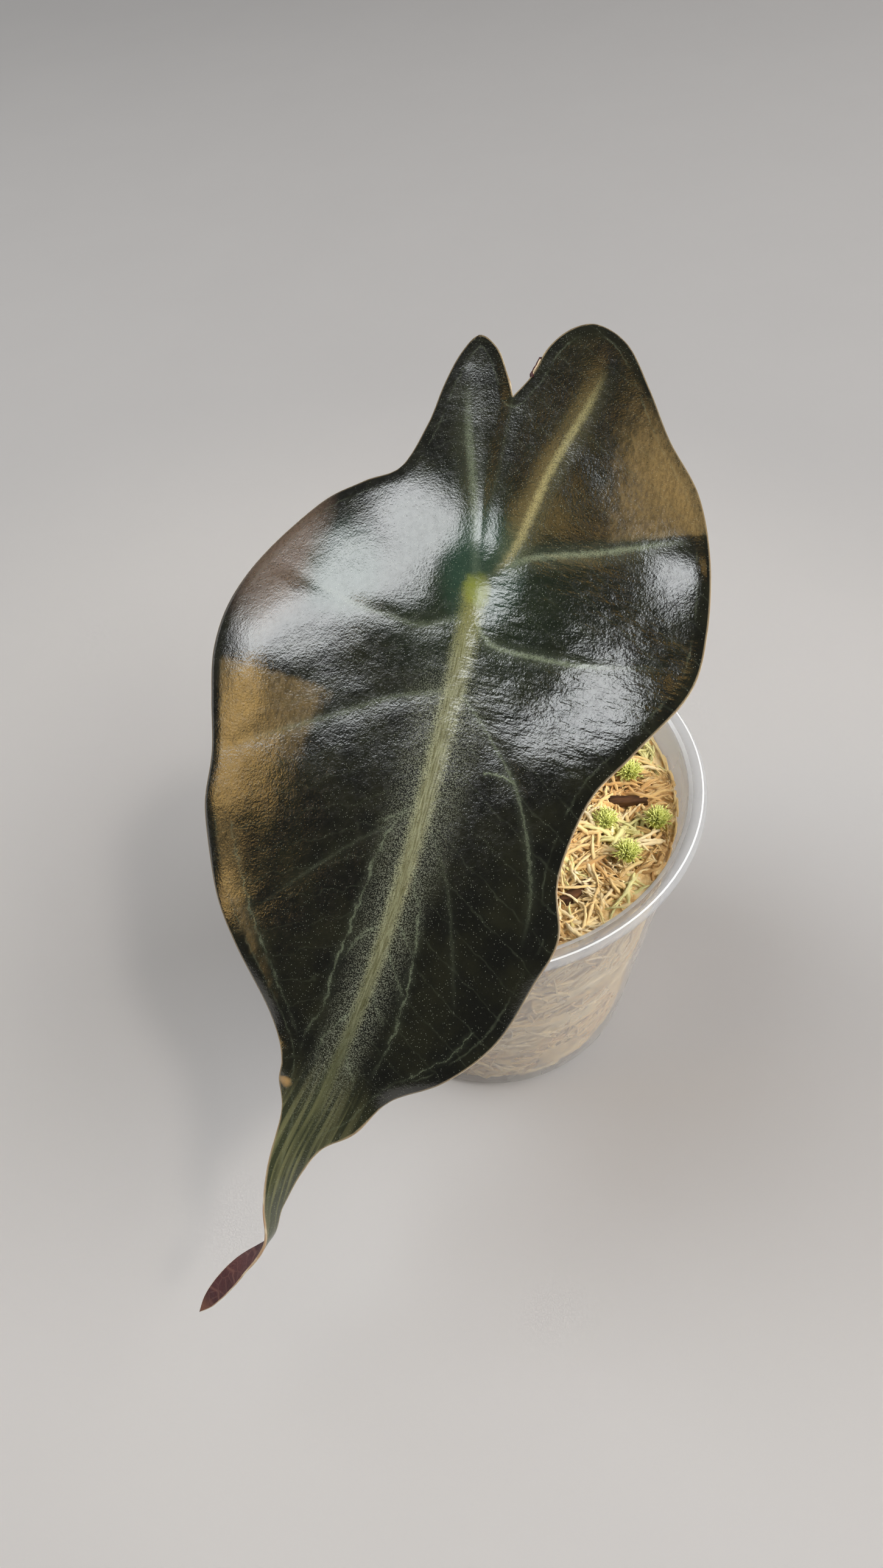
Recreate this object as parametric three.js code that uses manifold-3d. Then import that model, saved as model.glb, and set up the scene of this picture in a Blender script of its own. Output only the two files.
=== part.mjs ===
import * as THREE from "three";
import { mergeVertices } from "three/addons/utils/BufferGeometryUtils.js";
import Module from "manifold-3d";

// A young dark alocasia with one large leaf, planted in sphagnum moss in a clear tapered cup.
// Millimetres, +Z up. The origin is the middle of the cup's flat underside.

const wasm = await Module();
wasm.setup();

// The cup: a thin tapered wall, a flat floor with a rounded heel, and a rolled rim.
const cup = { height: 73, rimRadius: 47.5, baseRadius: 32.5, wall: 0.9, floor: 1.2, heel: 3, fillet: 0.6 };
const rim = { width: 3.2, depth: 2.8, lip: 0.5 };
const cupFaces = { around: 48, heel: 4, rim: 6 };

// The moss fills the cup to a few millimetres below the rim.
const moss = { level: 65.5, gap: 0.3, heel: 3, calmEdge: 2, topDepth: 1, rings: 6, sides: 40 };
// Its lumps: height, size along x and along y, and where along x the first one starts.
const lumps = [
  { height: 1.1, sizeX: 30, sizeY: 33, start: 6 },
  { height: 0.7, sizeX: 13, sizeY: 15, start: 2 },
];
// Its loose strands, each of which arches out of it and dips back in at both ends.
const strands = { count: 44, reach: 34, length: 13, spread: 5, curl: 4, rise: 3.2, sink: 1.3 };
const strandRadii = [
  [0, 0.7],
  [0.5, 0.8],
  [1, 0.55],
];
const strandFaces = { sides: 3, steps: 4 };

// The live heads: a small core with two rings of pointed blades, low ones and high ones.
const head = { radius: 4, core: 2.1, sunk: 1.6, clear: 0.9, blades: 8, turns: 2, sway: 0.5 };
const headLift = { low: { least: 0.25, spread: 0.3 }, high: { least: 0.8, spread: 0.5 } };
const headBladeRadii = [
  [0, 0.8],
  [1, 0.4],
];
const headPlaces = [
  [25.5, -10.5],
  [33, 1.5],
  [36, -12],
  [28, -20],
  [-16, 22],
  [-24, -16],
];

// The dark chips: x, y and turn in degrees.
const bark = { length: 8.5, width: 2.6, thick: 1.8, lift: 0.2, clear: 0.6 };
const barkPlaces = [
  [31.5, -4.8, -8],
  [17, -25.5, 35],
];

// The stalk rises from its sheath in the moss and bends at the top to meet the blade squarely.
const foot = new THREE.Vector3(2, 6, 54);
const stalk = { sides: 10, steps: 16, bend: 15, gap: 0.3 };
const stalkLean = [
  [0.4, 0.6, 22],
  [2.4, 0.8, 43],
];
const stalkRadii = [
  [0, 4.2],
  [0.18, 3.9],
  [0.4, 2.7],
  [0.7, 2],
  [1, 1.7],
];

// The corm and its roots stand in a hollow of the moss under the stalk.
const pocket = { radius: 9.2, bottom: 34, shoulder: 51, neckRadius: 4.7, neck: 55.5, sides: 20 };
const corm = { radius: 6.6, height: 15, gap: 0.4, sides: 10, rings: 7 };
const root = { count: 5, start: 0.3, sunk: 4, reach: 7.4, bend: 3, end: 5.2, drop: 12, uneven: 2 };
const rootRadii = [
  [0, 0.8],
  [1, 0.5],
];
const rootFaces = { sides: 4, steps: 5 };

// The blade. Its joint with the stalk is the zero of both leaf coordinates: s runs along the
// midrib towards the tip and t runs across it, both in millimetres.
const joint = new THREE.Vector3(3.5, -7.5, 130);
const heading = THREE.MathUtils.degToRad(32.3);
const slope = THREE.MathUtils.degToRad(36.7);
const leafRoll = THREE.MathUtils.degToRad(9);
const blade = { thickness: 0.8, columns: 81, rows: 8, crowd: 1.35 };

// Each station of the outline: s at the middle line, then s and t on the left edge, then on the right.
const stations = [
  [-35.5, -35.5, 0, -35.5, 0],
  [-33, -40, -1.9, -40.5, 2.8],
  [-30, -44.5, -4.5, -47, 5],
  [-27, -46.5, -8.3, -52, 8.8],
  [-23.5, -42, -11.3, -53.9, 13.5],
  [-19.5, -35, -13.3, -51, 19.2],
  [-15, -26.5, -14.6, -43, 24],
  [-10, -17.3, -17.4, -34.2, 28.5],
  [-5, -13.7, -24.5, -25.6, 34.5],
  [0, -8.7, -32.2, -15, 37.6],
  [6, 2, -40.6, -2.7, 38.8],
  [13, 12, -45, 7.8, 37.6],
  [22, 22, -45.4, 20, 31],
  [31, 31, -43.2, 29, 26],
  [41, 40, -40.4, 42, 24.2],
  [51, 50, -38.6, 51.5, 27],
  [61, 61, -33, 60, 25.4],
  [71, 70, -24.5, 71, 23],
  [80, 79, -14.8, 80, 17.7],
  [86, 85.3, -9.1, 86.5, 10.8],
  [91, 90.5, -7.8, 92.5, 8],
  [97, 96, -4.7, 97.5, 4.4],
  [104, 104, -3, 104, 3],
  [112, 112, -2, 112, 2],
  [120, 120, -1.5, 120, 1.5],
  [129, 129, -1.7, 129, 1.7],
  [135, 135, -1.2, 135, 1.2],
  [138.6, 138.6, 0, 138.6, 0],
];

// How the middle line sways sideways, twists at the drip tip, and how far each side rolls back.
const sway = [
  [-54, -10],
  [-36, -6.3],
  [-18, -3],
  [0, 0],
  [14, 1.8],
  [45, 3.7],
  [70, 3],
  [88, 0.6],
  [103, -2.5],
  [112, -2.9],
  [119, -2.4],
  [126, -6.5],
  [133, -10],
  [140, -13],
];
const twistDegrees = [
  [-54, 0],
  [92, 0],
  [102, -8],
  [108, -28],
  [114, -62],
  [119, -92],
  [124, -140],
  [130, -165],
  [140, -170],
];
const rollLeft = [
  [-54, 12],
  [-37, 10],
  [-20, 7],
  [0, 4],
  [25, 2.5],
  [70, 2.5],
  [88, 3],
  [140, 4],
];
const rollRight = [
  [-54, 1],
  [-20, 1],
  [10, 0],
  [40, 0],
  [70, 2.5],
  [90, 3],
  [140, 4],
];
const rollSpan = { left: 30, right: 35 };
const arch = { lift: 0.17, fall: 0.0021 };
const dripTip = { start: 84, blend: 14 };

// Soft pillows and one hollow between the main veins: s, t, radius and height.
const pillows = [
  [-9, 1, 13, 2.3],
  [-16, -16, 10, 1.9],
  [-4, -27, 6, 0.6],
  [5, -16, 12, 2.1],
  [9, -33, 7, 0.8],
  [20, -36, 12, 2.8],
  [38, -24, 14, 1],
  [-26, 26, 10, 0.8],
  [11, 18, 7, -0.6],
  [-12, 39, 8, 2.6],
  [17, 34, 12, 2.2],
  [28, 20, 10, 1],
  [50, 12, 13, 1],
];
const edgeWave = { height: 1, waves: 11, hold: 4, shiftLeft: 0.4, start: 38, blend: 24 };
const dimple = { depth: 1.2, radius: 5 };

// The ribs under the blade: points in s and t from the joint outwards, width and height of the rib,
// and depth of the valley above it.
const veins = [
  { points: [[-36, 0], [-18, 0.2], [0, 0]], width: 1.6, rib: 0.5, valley: 0.15 },
  { points: [[0, 0], [-14, -2.8], [-27, -6.6], [-38, -9]], width: 2, rib: 0.9, valley: 0.2 },
  { points: [[0, 0], [-7, 5.4], [-23, 9], [-38, 14], [-46, 16]], width: 2, rib: 1, valley: 0.2 },
  { points: [[-4, 4.5], [-7, 9], [-11, 19.5], [-15, 29], [-17, 35]], width: 1.8, rib: 0.8, valley: 0.15 },
  { points: [[5, 0], [9, 4.5], [9, 12], [8, 21], [5, 34]], width: 1.8, rib: 0.8, valley: 0.15 },
  { points: [[17, 0], [24, 8], [32, 15], [45, 20.5], [56, 22]], width: 1.8, rib: 0.7, valley: 0.15 },
  { points: [[38, 0], [48, 7], [60, 12], [70, 15.5]], width: 1.6, rib: 0.5, valley: 0.1 },
  { points: [[5, 0], [9, -7.5], [9, -13.5], [8.5, -20.5], [5, -36]], width: 1.8, rib: 0.8, valley: 0.15 },
  { points: [[18, 0], [22, -10], [27, -18], [34, -30], [38, -37]], width: 1.8, rib: 0.7, valley: 0.1 },
  { points: [[38, 0], [46, -9], [56, -18], [64, -24]], width: 1.6, rib: 0.5, valley: 0.1 },
];
const midrib = { width: 1.7, rib: 1.6, valley: 0.15, end: 118 };
const veinSteps = 24;
const valleySpread = 0.9;
const ribFade = 4;

// How far apart the two points lie from which a slope is taken, and how close corners are joined.
const probe = 0.6;
const weld = 1e-4;

// Where the repeatable random draws start.
const seeds = { strands: 7, heads: 20 };

const colours = {
  leaf: new THREE.MeshStandardMaterial({ color: 0x1d2416, roughness: 0.3, metalness: 0.1 }),
  stalk: new THREE.MeshStandardMaterial({ color: 0x66683f, roughness: 0.5, metalness: 0 }),
  corm: new THREE.MeshStandardMaterial({ color: 0x6b4a31, roughness: 0.9, metalness: 0 }),
  moss: new THREE.MeshStandardMaterial({ color: 0xb98f4e, roughness: 0.95, metalness: 0 }),
  greenMoss: new THREE.MeshStandardMaterial({ color: 0x8fa32c, roughness: 0.9, metalness: 0 }),
  bark: new THREE.MeshStandardMaterial({ color: 0x3b2417, roughness: 0.9, metalness: 0 }),
  clear: new THREE.MeshStandardMaterial({
    color: 0xe6ebee,
    roughness: 0.12,
    metalness: 0,
    transparent: true,
    opacity: 0.35,
  }),
};

// A smooth value from rows that start with their key, held at the end rows beyond them.
function rowsAt(rows, key) {
  const last = rows.length - 1;
  const x = Math.min(Math.max(key, rows[0][0]), rows[last][0]);
  let i = 0;
  while (i < last - 1 && rows[i + 1][0] <= x) i += 1;
  const gradient = (k, c) => {
    const a = rows[Math.max(k - 1, 0)];
    const b = rows[Math.min(k + 1, last)];
    return (b[c] - a[c]) / (b[0] - a[0]);
  };
  const width = rows[i + 1][0] - rows[i][0];
  const u = (x - rows[i][0]) / width;
  return rows[i].slice(1).map((value, k) => {
    const c = k + 1;
    const start = (2 * u ** 3 - 3 * u ** 2 + 1) * value;
    const end = (3 * u ** 2 - 2 * u ** 3) * rows[i + 1][c];
    const leave = (u ** 3 - 2 * u ** 2 + u) * width * gradient(i, c);
    const arrive = (u ** 3 - u ** 2) * width * gradient(i + 1, c);
    return start + leave + end + arrive;
  });
}

function smoothStep(x) {
  const u = Math.min(Math.max(x, 0), 1);
  return u * u * (3 - 2 * u);
}

const bell = (distance, width) => Math.exp(-((distance / width) ** 2));

// The blade's own axes: along it to the tip, across it to the right, and out of its upper face.
const along = new THREE.Vector3(
  -Math.sin(heading) * Math.cos(slope),
  -Math.cos(heading) * Math.cos(slope),
  -Math.sin(slope),
);
const level = new THREE.Vector3(Math.cos(heading), -Math.sin(heading), 0);
const across = level.clone().applyAxisAngle(along, -leafRoll);
const upward = new THREE.Vector3().crossVectors(along, across);

function middle(s) {
  const height = arch.lift * s - arch.fall * s * s;
  return joint
    .clone()
    .addScaledVector(along, s)
    .addScaledVector(across, rowsAt(sway, s)[0])
    .addScaledVector(upward, height);
}

const dripShare = (s) => smoothStep((s - dripTip.start) / dripTip.blend);

// The across and outward directions at s. The drip tip follows its own line and twists about it.
function frameAt(s) {
  const run = middle(s + probe).sub(middle(s - probe)).normalize();
  const side = new THREE.Vector3().crossVectors(upward, run).normalize();
  const out = new THREE.Vector3().crossVectors(run, side).normalize();
  side.lerp(across, 1 - dripShare(s)).normalize();
  out.lerp(upward, 1 - dripShare(s)).normalize();
  const turn = THREE.MathUtils.degToRad(rowsAt(twistDegrees, s)[0]);
  return {
    side: side.clone().multiplyScalar(Math.cos(turn)).addScaledVector(out, Math.sin(turn)),
    out: out.clone().multiplyScalar(Math.cos(turn)).addScaledVector(side, -Math.sin(turn)),
  };
}

const veinLines = veins.map((vein) => {
  const line = new THREE.SplineCurve(vein.points.map(([s, t]) => new THREE.Vector2(s, t)));
  return { ...vein, line: line.getPoints(veinSteps) };
});

function distanceTo(line, s, t) {
  const here = new THREE.Vector2(s, t);
  let least = Infinity;
  for (let i = 1; i < line.length; i += 1) {
    const step = line[i].clone().sub(line[i - 1]);
    const share = here.clone().sub(line[i - 1]).dot(step) / step.lengthSq();
    const near = line[i - 1].clone().addScaledVector(step, Math.min(Math.max(share, 0), 1));
    least = Math.min(least, near.distanceTo(here));
  }
  return least;
}

function valleyAt(s, t) {
  const depths = veinLines.map((vein) => {
    return vein.valley * bell(distanceTo(vein.line, s, t), valleySpread * vein.width);
  });
  return Math.max(...depths, midrib.valley * bell(t, valleySpread * midrib.width));
}

function ribAt(s, t) {
  const heights = veinLines.map((vein) => vein.rib * bell(distanceTo(vein.line, s, t), vein.width));
  const main = midrib.rib * smoothStep((midrib.end - s) / midrib.end) * bell(t, midrib.width);
  return Math.max(...heights, s > 0 ? main : 0);
}

// Height of the upper face over the flat leaf plane. edge is 0 on the middle line and 1 on the margin.
function reliefAt(s, t, edge, place) {
  const isLeft = t < 0;
  const span = isLeft ? rollSpan.left : rollSpan.right;
  const roll = rowsAt(isLeft ? rollLeft : rollRight, s)[0] * (t / span) ** 2;
  const puffs = pillows.reduce(
    (sum, [ps, pt, radius, height]) => sum + height * bell(Math.hypot(s - ps, t - pt), radius),
    0,
  );
  const phase = place * edgeWave.waves + (isLeft ? edgeWave.shiftLeft : 0);
  const waveShare = smoothStep((s - edgeWave.start) / edgeWave.blend) * edge ** edgeWave.hold;
  const wave = edgeWave.height * waveShare * Math.sin(phase * 2 * Math.PI);
  const sink = dimple.depth * bell(Math.hypot(s, t), dimple.radius);
  return (puffs + wave - valleyAt(s, t)) * (1 - dripShare(s)) - roll - sink;
}

function upperFace(s, t, edge, place) {
  const { side, out } = frameAt(s);
  return middle(s).addScaledVector(side, t).addScaledVector(out, reliefAt(s, t, edge, place));
}

// A point of the upper (face 1) or lower (face -1) surface, by its share along and across the blade.
function bladePoint(place, share, face) {
  const keyed = stations.map((row, i) => [i / (stations.length - 1), ...row]);
  const [midS, leftS, leftT, rightS, rightT] = rowsAt(keyed, place);
  const edge = Math.abs(share) ** blade.crowd;
  const s = midS + ((share < 0 ? leftS : rightS) - midS) * edge;
  const t = (share < 0 ? leftT : rightT) * edge;
  const at = (ds, dt) => upperFace(s + ds, t + dt, edge, place);
  const runS = at(probe / 2, 0).sub(at(-probe / 2, 0));
  const runT = at(0, probe / 2).sub(at(0, -probe / 2));
  const normal = runS.cross(runT).normalize();
  const depth = face > 0 ? 0 : blade.thickness + ribAt(s, t) * (1 - edge ** ribFade);
  return at(0, 0).addScaledVector(normal, -depth);
}

// The blade as a sheet of columns along it and rows across it, split alike on both faces.
function bladeGeometry() {
  const { columns, rows } = blade;
  const points = [];
  const faces = [];
  const index = new Map();
  const spot = (column, row, face) => {
    const isEnd = column === 0 || column === columns;
    const key = `${column},${isEnd ? 0 : row},${face}`;
    if (!index.has(key)) {
      index.set(key, points.length);
      points.push(bladePoint(column / columns, isEnd ? 0 : row / rows, face));
    }
    return index.get(key);
  };
  const triangle = (a, b, c) => {
    if (a !== b && b !== c && a !== c) faces.push(a, b, c);
  };
  for (let column = 0; column < columns; column += 1) {
    for (let row = -rows; row < rows; row += 1) {
      for (const face of [1, -1]) {
        const a = spot(column, row, face);
        const b = spot(column + 1, row, face);
        const c = spot(column + 1, row + 1, face);
        const d = spot(column, row + 1, face);
        if (face > 0) {
          triangle(a, b, c);
          triangle(a, c, d);
        } else {
          triangle(c, b, a);
          triangle(d, c, a);
        }
      }
    }
    for (const row of [-rows, rows]) {
      const near = [spot(column, row, 1), spot(column, row, -1)];
      const far = [spot(column + 1, row, 1), spot(column + 1, row, -1)];
      if (row < 0) {
        triangle(near[0], near[1], far[1]);
        triangle(near[0], far[1], far[0]);
      } else {
        triangle(near[0], far[0], far[1]);
        triangle(near[0], far[1], near[1]);
      }
    }
  }
  const geometry = new THREE.BufferGeometry().setFromPoints(points);
  geometry.setIndex(faces);
  return geometry;
}

// A cylinder bent along a curve, with its radius from rows of share and radius.
function bentRod(curve, radii, { sides, steps }) {
  const rod = new THREE.CylinderGeometry(1, 1, 1, sides, steps);
  const frames = curve.computeFrenetFrames(steps, false);
  const spots = rod.getAttribute("position");
  for (let i = 0; i < spots.count; i += 1) {
    const share = spots.getY(i) + 0.5;
    const step = Math.round(share * steps);
    const radius = rowsAt(radii, share)[0];
    const point = curve
      .getPointAt(share)
      .addScaledVector(frames.normals[step], spots.getX(i) * radius)
      .addScaledVector(frames.binormals[step], -spots.getZ(i) * radius);
    spots.setXYZ(i, point.x, point.y, point.z);
  }
  return rod;
}

function solidOf(geometry) {
  const bare = geometry.clone();
  bare.deleteAttribute("normal");
  bare.deleteAttribute("uv");
  const merged = mergeVertices(bare, weld);
  const vertProperties = new Float32Array(merged.getAttribute("position").array);
  const triVerts = new Uint32Array(merged.getIndex().array);
  return new wasm.Manifold(new wasm.Mesh({ numProp: 3, vertProperties, triVerts }));
}

function geometryOf(solid) {
  const mesh = solid.getMesh();
  const geometry = new THREE.BufferGeometry();
  geometry.setAttribute("position", new THREE.BufferAttribute(mesh.vertProperties, 3));
  geometry.setIndex(new THREE.BufferAttribute(mesh.triVerts, 1));
  return geometry;
}

const largest = (solid) => solid.decompose().sort((a, b) => b.volume() - a.volume())[0];

// A repeatable random draw from 0 to 1.
function drawFrom(seed) {
  const factor = 1664525;
  const step = 1013904223;
  const size = 2 ** 32;
  let state = seed;
  return () => {
    state = (state * factor + step) % size;
    return state / size;
  };
}

const wallTop = cup.height - rim.depth;
const wallTopRadius = cup.rimRadius - rim.width;
const outerRadiusAt = (z) => cup.baseRadius + ((wallTopRadius - cup.baseRadius) * z) / wallTop;

function cupGeometry() {
  const profile = [new THREE.Vector2(0, 0)];
  const heelCentre = outerRadiusAt(cup.heel) - cup.heel;
  for (let i = 0; i <= cupFaces.heel; i += 1) {
    const angle = (-Math.PI / 2) * (1 - i / cupFaces.heel);
    profile.push(new THREE.Vector2(heelCentre + cup.heel * Math.cos(angle), cup.heel * (1 + Math.sin(angle))));
  }
  const half = rim.depth / 2;
  for (let i = 0; i <= cupFaces.rim; i += 1) {
    const angle = -Math.PI / 2 + (Math.PI * i) / cupFaces.rim;
    const x = cup.rimRadius - half + half * Math.cos(angle);
    profile.push(new THREE.Vector2(x, cup.height - half + half * Math.sin(angle)));
  }
  const innerTop = wallTopRadius - cup.wall;
  profile.push(new THREE.Vector2(innerTop + rim.lip, cup.height));
  profile.push(new THREE.Vector2(innerTop, cup.height - rim.lip));
  profile.push(new THREE.Vector2(innerTop, wallTop));
  profile.push(new THREE.Vector2(outerRadiusAt(cup.heel) - cup.wall, cup.heel + cup.fillet));
  profile.push(new THREE.Vector2(heelCentre, cup.floor));
  profile.push(new THREE.Vector2(0, cup.floor));
  return new THREE.LatheGeometry(profile, cupFaces.around).rotateX(Math.PI / 2);
}

// Height of the moss's lumpy top at x and y.
function mossTop(x, y) {
  const wave = (length, size) => Math.sin((2 * Math.PI * length) / size);
  const [broad, fine] = lumps;
  const hills = broad.height * wave(x + broad.start, broad.sizeX) * wave(y, broad.sizeY);
  const knobs = fine.height * wave(x - y + fine.start, fine.sizeX) * wave(x + y, fine.sizeY);
  return moss.level + hills + knobs;
}

function mossPlug() {
  const innerRadiusAt = (z) => outerRadiusAt(z) - cup.wall - moss.gap;
  const topRadius = innerRadiusAt(moss.level);
  const bottom = cup.floor + moss.gap;
  const profile = [
    new THREE.Vector2(0, bottom),
    new THREE.Vector2(innerRadiusAt(bottom) - moss.heel, bottom),
    new THREE.Vector2(innerRadiusAt(bottom + moss.heel), bottom + moss.heel),
  ];
  for (let i = 0; i <= moss.rings; i += 1) {
    profile.push(new THREE.Vector2(topRadius * (1 - i / moss.rings), moss.level));
  }
  const plug = new THREE.LatheGeometry(profile, moss.sides).rotateX(Math.PI / 2);
  const spots = plug.getAttribute("position");
  for (let i = 0; i < spots.count; i += 1) {
    if (spots.getZ(i) < moss.level - moss.topDepth) continue;
    const x = spots.getX(i);
    const y = spots.getY(i);
    const fromEdge = topRadius - Math.hypot(x, y);
    const share = smoothStep(fromEdge / moss.calmEdge);
    spots.setZ(i, moss.level + (mossTop(x, y) - moss.level) * share);
  }
  return solidOf(plug);
}

function strand(draw) {
  const angle = draw() * 2 * Math.PI;
  const radius = strands.reach * Math.sqrt(draw());
  const turn = draw() * 2 * Math.PI;
  const half = (strands.length + strands.spread * (draw() - 0.5)) / 2;
  const centre = new THREE.Vector3(radius * Math.cos(angle), radius * Math.sin(angle), 0);
  const way = new THREE.Vector3(Math.cos(turn), Math.sin(turn), 0);
  const curl = new THREE.Vector3(-way.y, way.x, 0).multiplyScalar(strands.curl * (draw() - 0.5));
  const start = centre.clone().addScaledVector(way, -half);
  const end = centre.clone().addScaledVector(way, half);
  start.z = mossTop(start.x, start.y) - strands.sink;
  end.z = mossTop(end.x, end.y) - strands.sink;
  const top = centre.clone().add(curl);
  top.z = mossTop(top.x, top.y) + strands.rise;
  return solidOf(bentRod(new THREE.QuadraticBezierCurve3(start, top, end), strandRadii, strandFaces));
}

const headCentre = ([x, y]) => new THREE.Vector3(x, y, mossTop(x, y) + head.radius - head.sunk);

function mossHead(place, seed) {
  const draw = drawFrom(seed);
  const centre = headCentre(place);
  const coreCentre = centre.clone();
  coreCentre.z += head.core - head.radius;
  let solid = solidOf(new THREE.IcosahedronGeometry(head.core, 1).translate(...coreCentre.toArray()));
  for (let i = 0; i < head.blades; i += 1) {
    const angle = (i / head.blades) * head.turns * 2 * Math.PI + head.sway * draw();
    const { least, spread } = i % 2 === 1 ? headLift.low : headLift.high;
    const lift = least + spread * draw();
    const way = new THREE.Vector3(
      Math.cos(angle) * Math.cos(lift),
      Math.sin(angle) * Math.cos(lift),
      Math.sin(lift),
    );
    const start = coreCentre.clone().addScaledVector(way, head.core / 2);
    const end = centre.clone().addScaledVector(way, head.radius - headBladeRadii[0][1]);
    const needle = bentRod(new THREE.LineCurve3(start, end), headBladeRadii, { sides: 3, steps: 1 });
    solid = solid.add(solidOf(needle));
  }
  return solid;
}

function barkChip([x, y, turn], grow) {
  const chip = new THREE.BoxGeometry(bark.length + grow, bark.width + grow, bark.thick + grow);
  chip.rotateZ(THREE.MathUtils.degToRad(turn));
  return chip.translate(x, y, mossTop(x, y) + bark.lift);
}

function mossSolid() {
  const draw = drawFrom(seeds.strands);
  let bed = mossPlug();
  for (let i = 0; i < strands.count; i += 1) bed = bed.add(strand(draw));
  for (const place of headPlaces) {
    const bowl = new THREE.IcosahedronGeometry(head.radius + head.clear, 1);
    bed = bed.subtract(solidOf(bowl.translate(...headCentre(place).toArray())));
  }
  for (const place of barkPlaces) bed = bed.subtract(solidOf(barkChip(place, bark.clear)));
  const hole = new THREE.LatheGeometry(
    [
      new THREE.Vector2(0, pocket.bottom),
      new THREE.Vector2(pocket.radius, pocket.bottom),
      new THREE.Vector2(pocket.radius, pocket.shoulder),
      new THREE.Vector2(pocket.neckRadius, pocket.neck),
      new THREE.Vector2(pocket.neckRadius, cup.height),
      new THREE.Vector2(0, cup.height),
    ],
    pocket.sides,
  ).rotateX(Math.PI / 2);
  return largest(bed.subtract(solidOf(hole.translate(foot.x, foot.y, 0))));
}

// The share along the blade at which its middle line passes the stalk.
const placeOfJoint = stations.findIndex((row) => row[0] === 0) / (stations.length - 1);

function stalkGeometry() {
  const top = bladePoint(placeOfJoint, 0, -1).addScaledVector(upward, -stalk.gap);
  const path = new THREE.CatmullRomCurve3([
    foot,
    ...stalkLean.map((lean) => foot.clone().add(new THREE.Vector3(...lean))),
    top.clone().addScaledVector(upward, -stalk.bend),
    top,
  ]);
  return bentRod(path, stalkRadii, stalk);
}

function cormGeometry() {
  const centre = foot.clone();
  centre.z -= corm.gap + corm.height / 2;
  const body = new THREE.SphereGeometry(1, corm.sides, corm.rings).rotateX(Math.PI / 2);
  body.scale(corm.radius, corm.radius, corm.height / 2).translate(...centre.toArray());
  let solid = solidOf(body);
  for (let i = 0; i < root.count; i += 1) {
    const angle = (i / root.count) * 2 * Math.PI + root.start;
    const way = new THREE.Vector3(Math.cos(angle), Math.sin(angle), 0);
    const start = centre.clone().addScaledVector(way, root.sunk);
    const bend = centre.clone().addScaledVector(way, root.reach);
    bend.z -= root.bend;
    const end = centre.clone().addScaledVector(way, root.end);
    end.z -= root.drop - root.uneven * (i % 2);
    solid = solid.add(solidOf(bentRod(new THREE.CatmullRomCurve3([start, bend, end]), rootRadii, rootFaces)));
  }
  return geometryOf(solid);
}

const plant = new THREE.Group();

function addPiece(name, geometry, material) {
  const piece = new THREE.Mesh(geometry, material);
  piece.name = name;
  plant.add(piece);
}

addPiece("cup", cupGeometry(), colours.clear);
addPiece("moss", geometryOf(mossSolid()), colours.moss);
headPlaces.forEach((place, i) => {
  addPiece(`moss_head_${i + 1}`, geometryOf(mossHead(place, seeds.heads + i)), colours.greenMoss);
});
barkPlaces.forEach((place, i) => {
  addPiece(`bark_${i + 1}`, barkChip(place, 0), colours.bark);
});
addPiece("corm", cormGeometry(), colours.corm);
addPiece("stalk", stalkGeometry(), colours.stalk);
addPiece("leaf", bladeGeometry(), colours.leaf);

export default plant;
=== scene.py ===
import math
import random

import bmesh
import bpy
import numpy as np
from mathutils import Matrix, Vector, noise


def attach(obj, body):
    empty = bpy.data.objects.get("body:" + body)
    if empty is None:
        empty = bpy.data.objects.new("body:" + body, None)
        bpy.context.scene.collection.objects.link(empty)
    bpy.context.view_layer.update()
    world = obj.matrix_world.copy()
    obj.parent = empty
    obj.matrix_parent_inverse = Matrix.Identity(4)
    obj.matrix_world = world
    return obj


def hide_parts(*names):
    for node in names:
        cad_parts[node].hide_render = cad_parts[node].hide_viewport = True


# A young dark alocasia with one large leaf, in sphagnum moss in a clear tapered cup.
# The dictionaries hold millimetres and degrees, and mm turns them into scene units.

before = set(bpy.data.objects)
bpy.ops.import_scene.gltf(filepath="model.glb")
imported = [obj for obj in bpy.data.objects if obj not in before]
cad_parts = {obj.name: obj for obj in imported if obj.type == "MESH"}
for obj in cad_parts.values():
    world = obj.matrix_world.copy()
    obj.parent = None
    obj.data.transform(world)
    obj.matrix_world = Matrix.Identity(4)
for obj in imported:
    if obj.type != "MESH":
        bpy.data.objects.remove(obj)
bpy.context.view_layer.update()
scene = bpy.context.scene
mm = 0.001


# Helpers for shader nodes. A value is a number, a colour or the output of another node.

def newMaterial(name):
    material = bpy.data.materials.new(name)
    material.use_nodes = True
    return material, material.node_tree, material.node_tree.nodes["Principled BSDF"]


def feed(socket, value):
    if isinstance(value, bpy.types.NodeSocket):
        socket.id_data.links.new(value, socket)
    else:
        socket.default_value = (*value, 1) if socket.type == "RGBA" else value


def addNode(tree, kind, values=(), **settings):
    added = tree.nodes.new(kind)
    for name, setting in settings.items():
        setattr(added, name, setting)
    for key, value in dict(values).items():
        feed(added.inputs[key], value)
    return added


def treeOf(*values):
    return next(value.id_data for value in values if isinstance(value, bpy.types.NodeSocket))


def calc(operation, *values):
    return addNode(treeOf(*values), "ShaderNodeMath", enumerate(values), operation=operation).outputs[0]


def chain(operation, values):
    total, *others = values
    for value in others:
        total = calc(operation, total, value)
    return total


def times(*values):
    return chain("MULTIPLY", values)


def plus(*values):
    return chain("ADD", values)


def most(*values):
    return chain("MAXIMUM", values)


def minus(first, second):
    return calc("SUBTRACT", first, second)


def magnitude(value):
    return calc("ABSOLUTE", value)


def squares(first, second):
    return plus(times(first, first), times(second, second))


def mixColour(share, first, second):
    values = {0: share, 6: first, 7: second}
    return addNode(treeOf(share, first, second), "ShaderNodeMix", values, data_type="RGBA").outputs[2]


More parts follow.
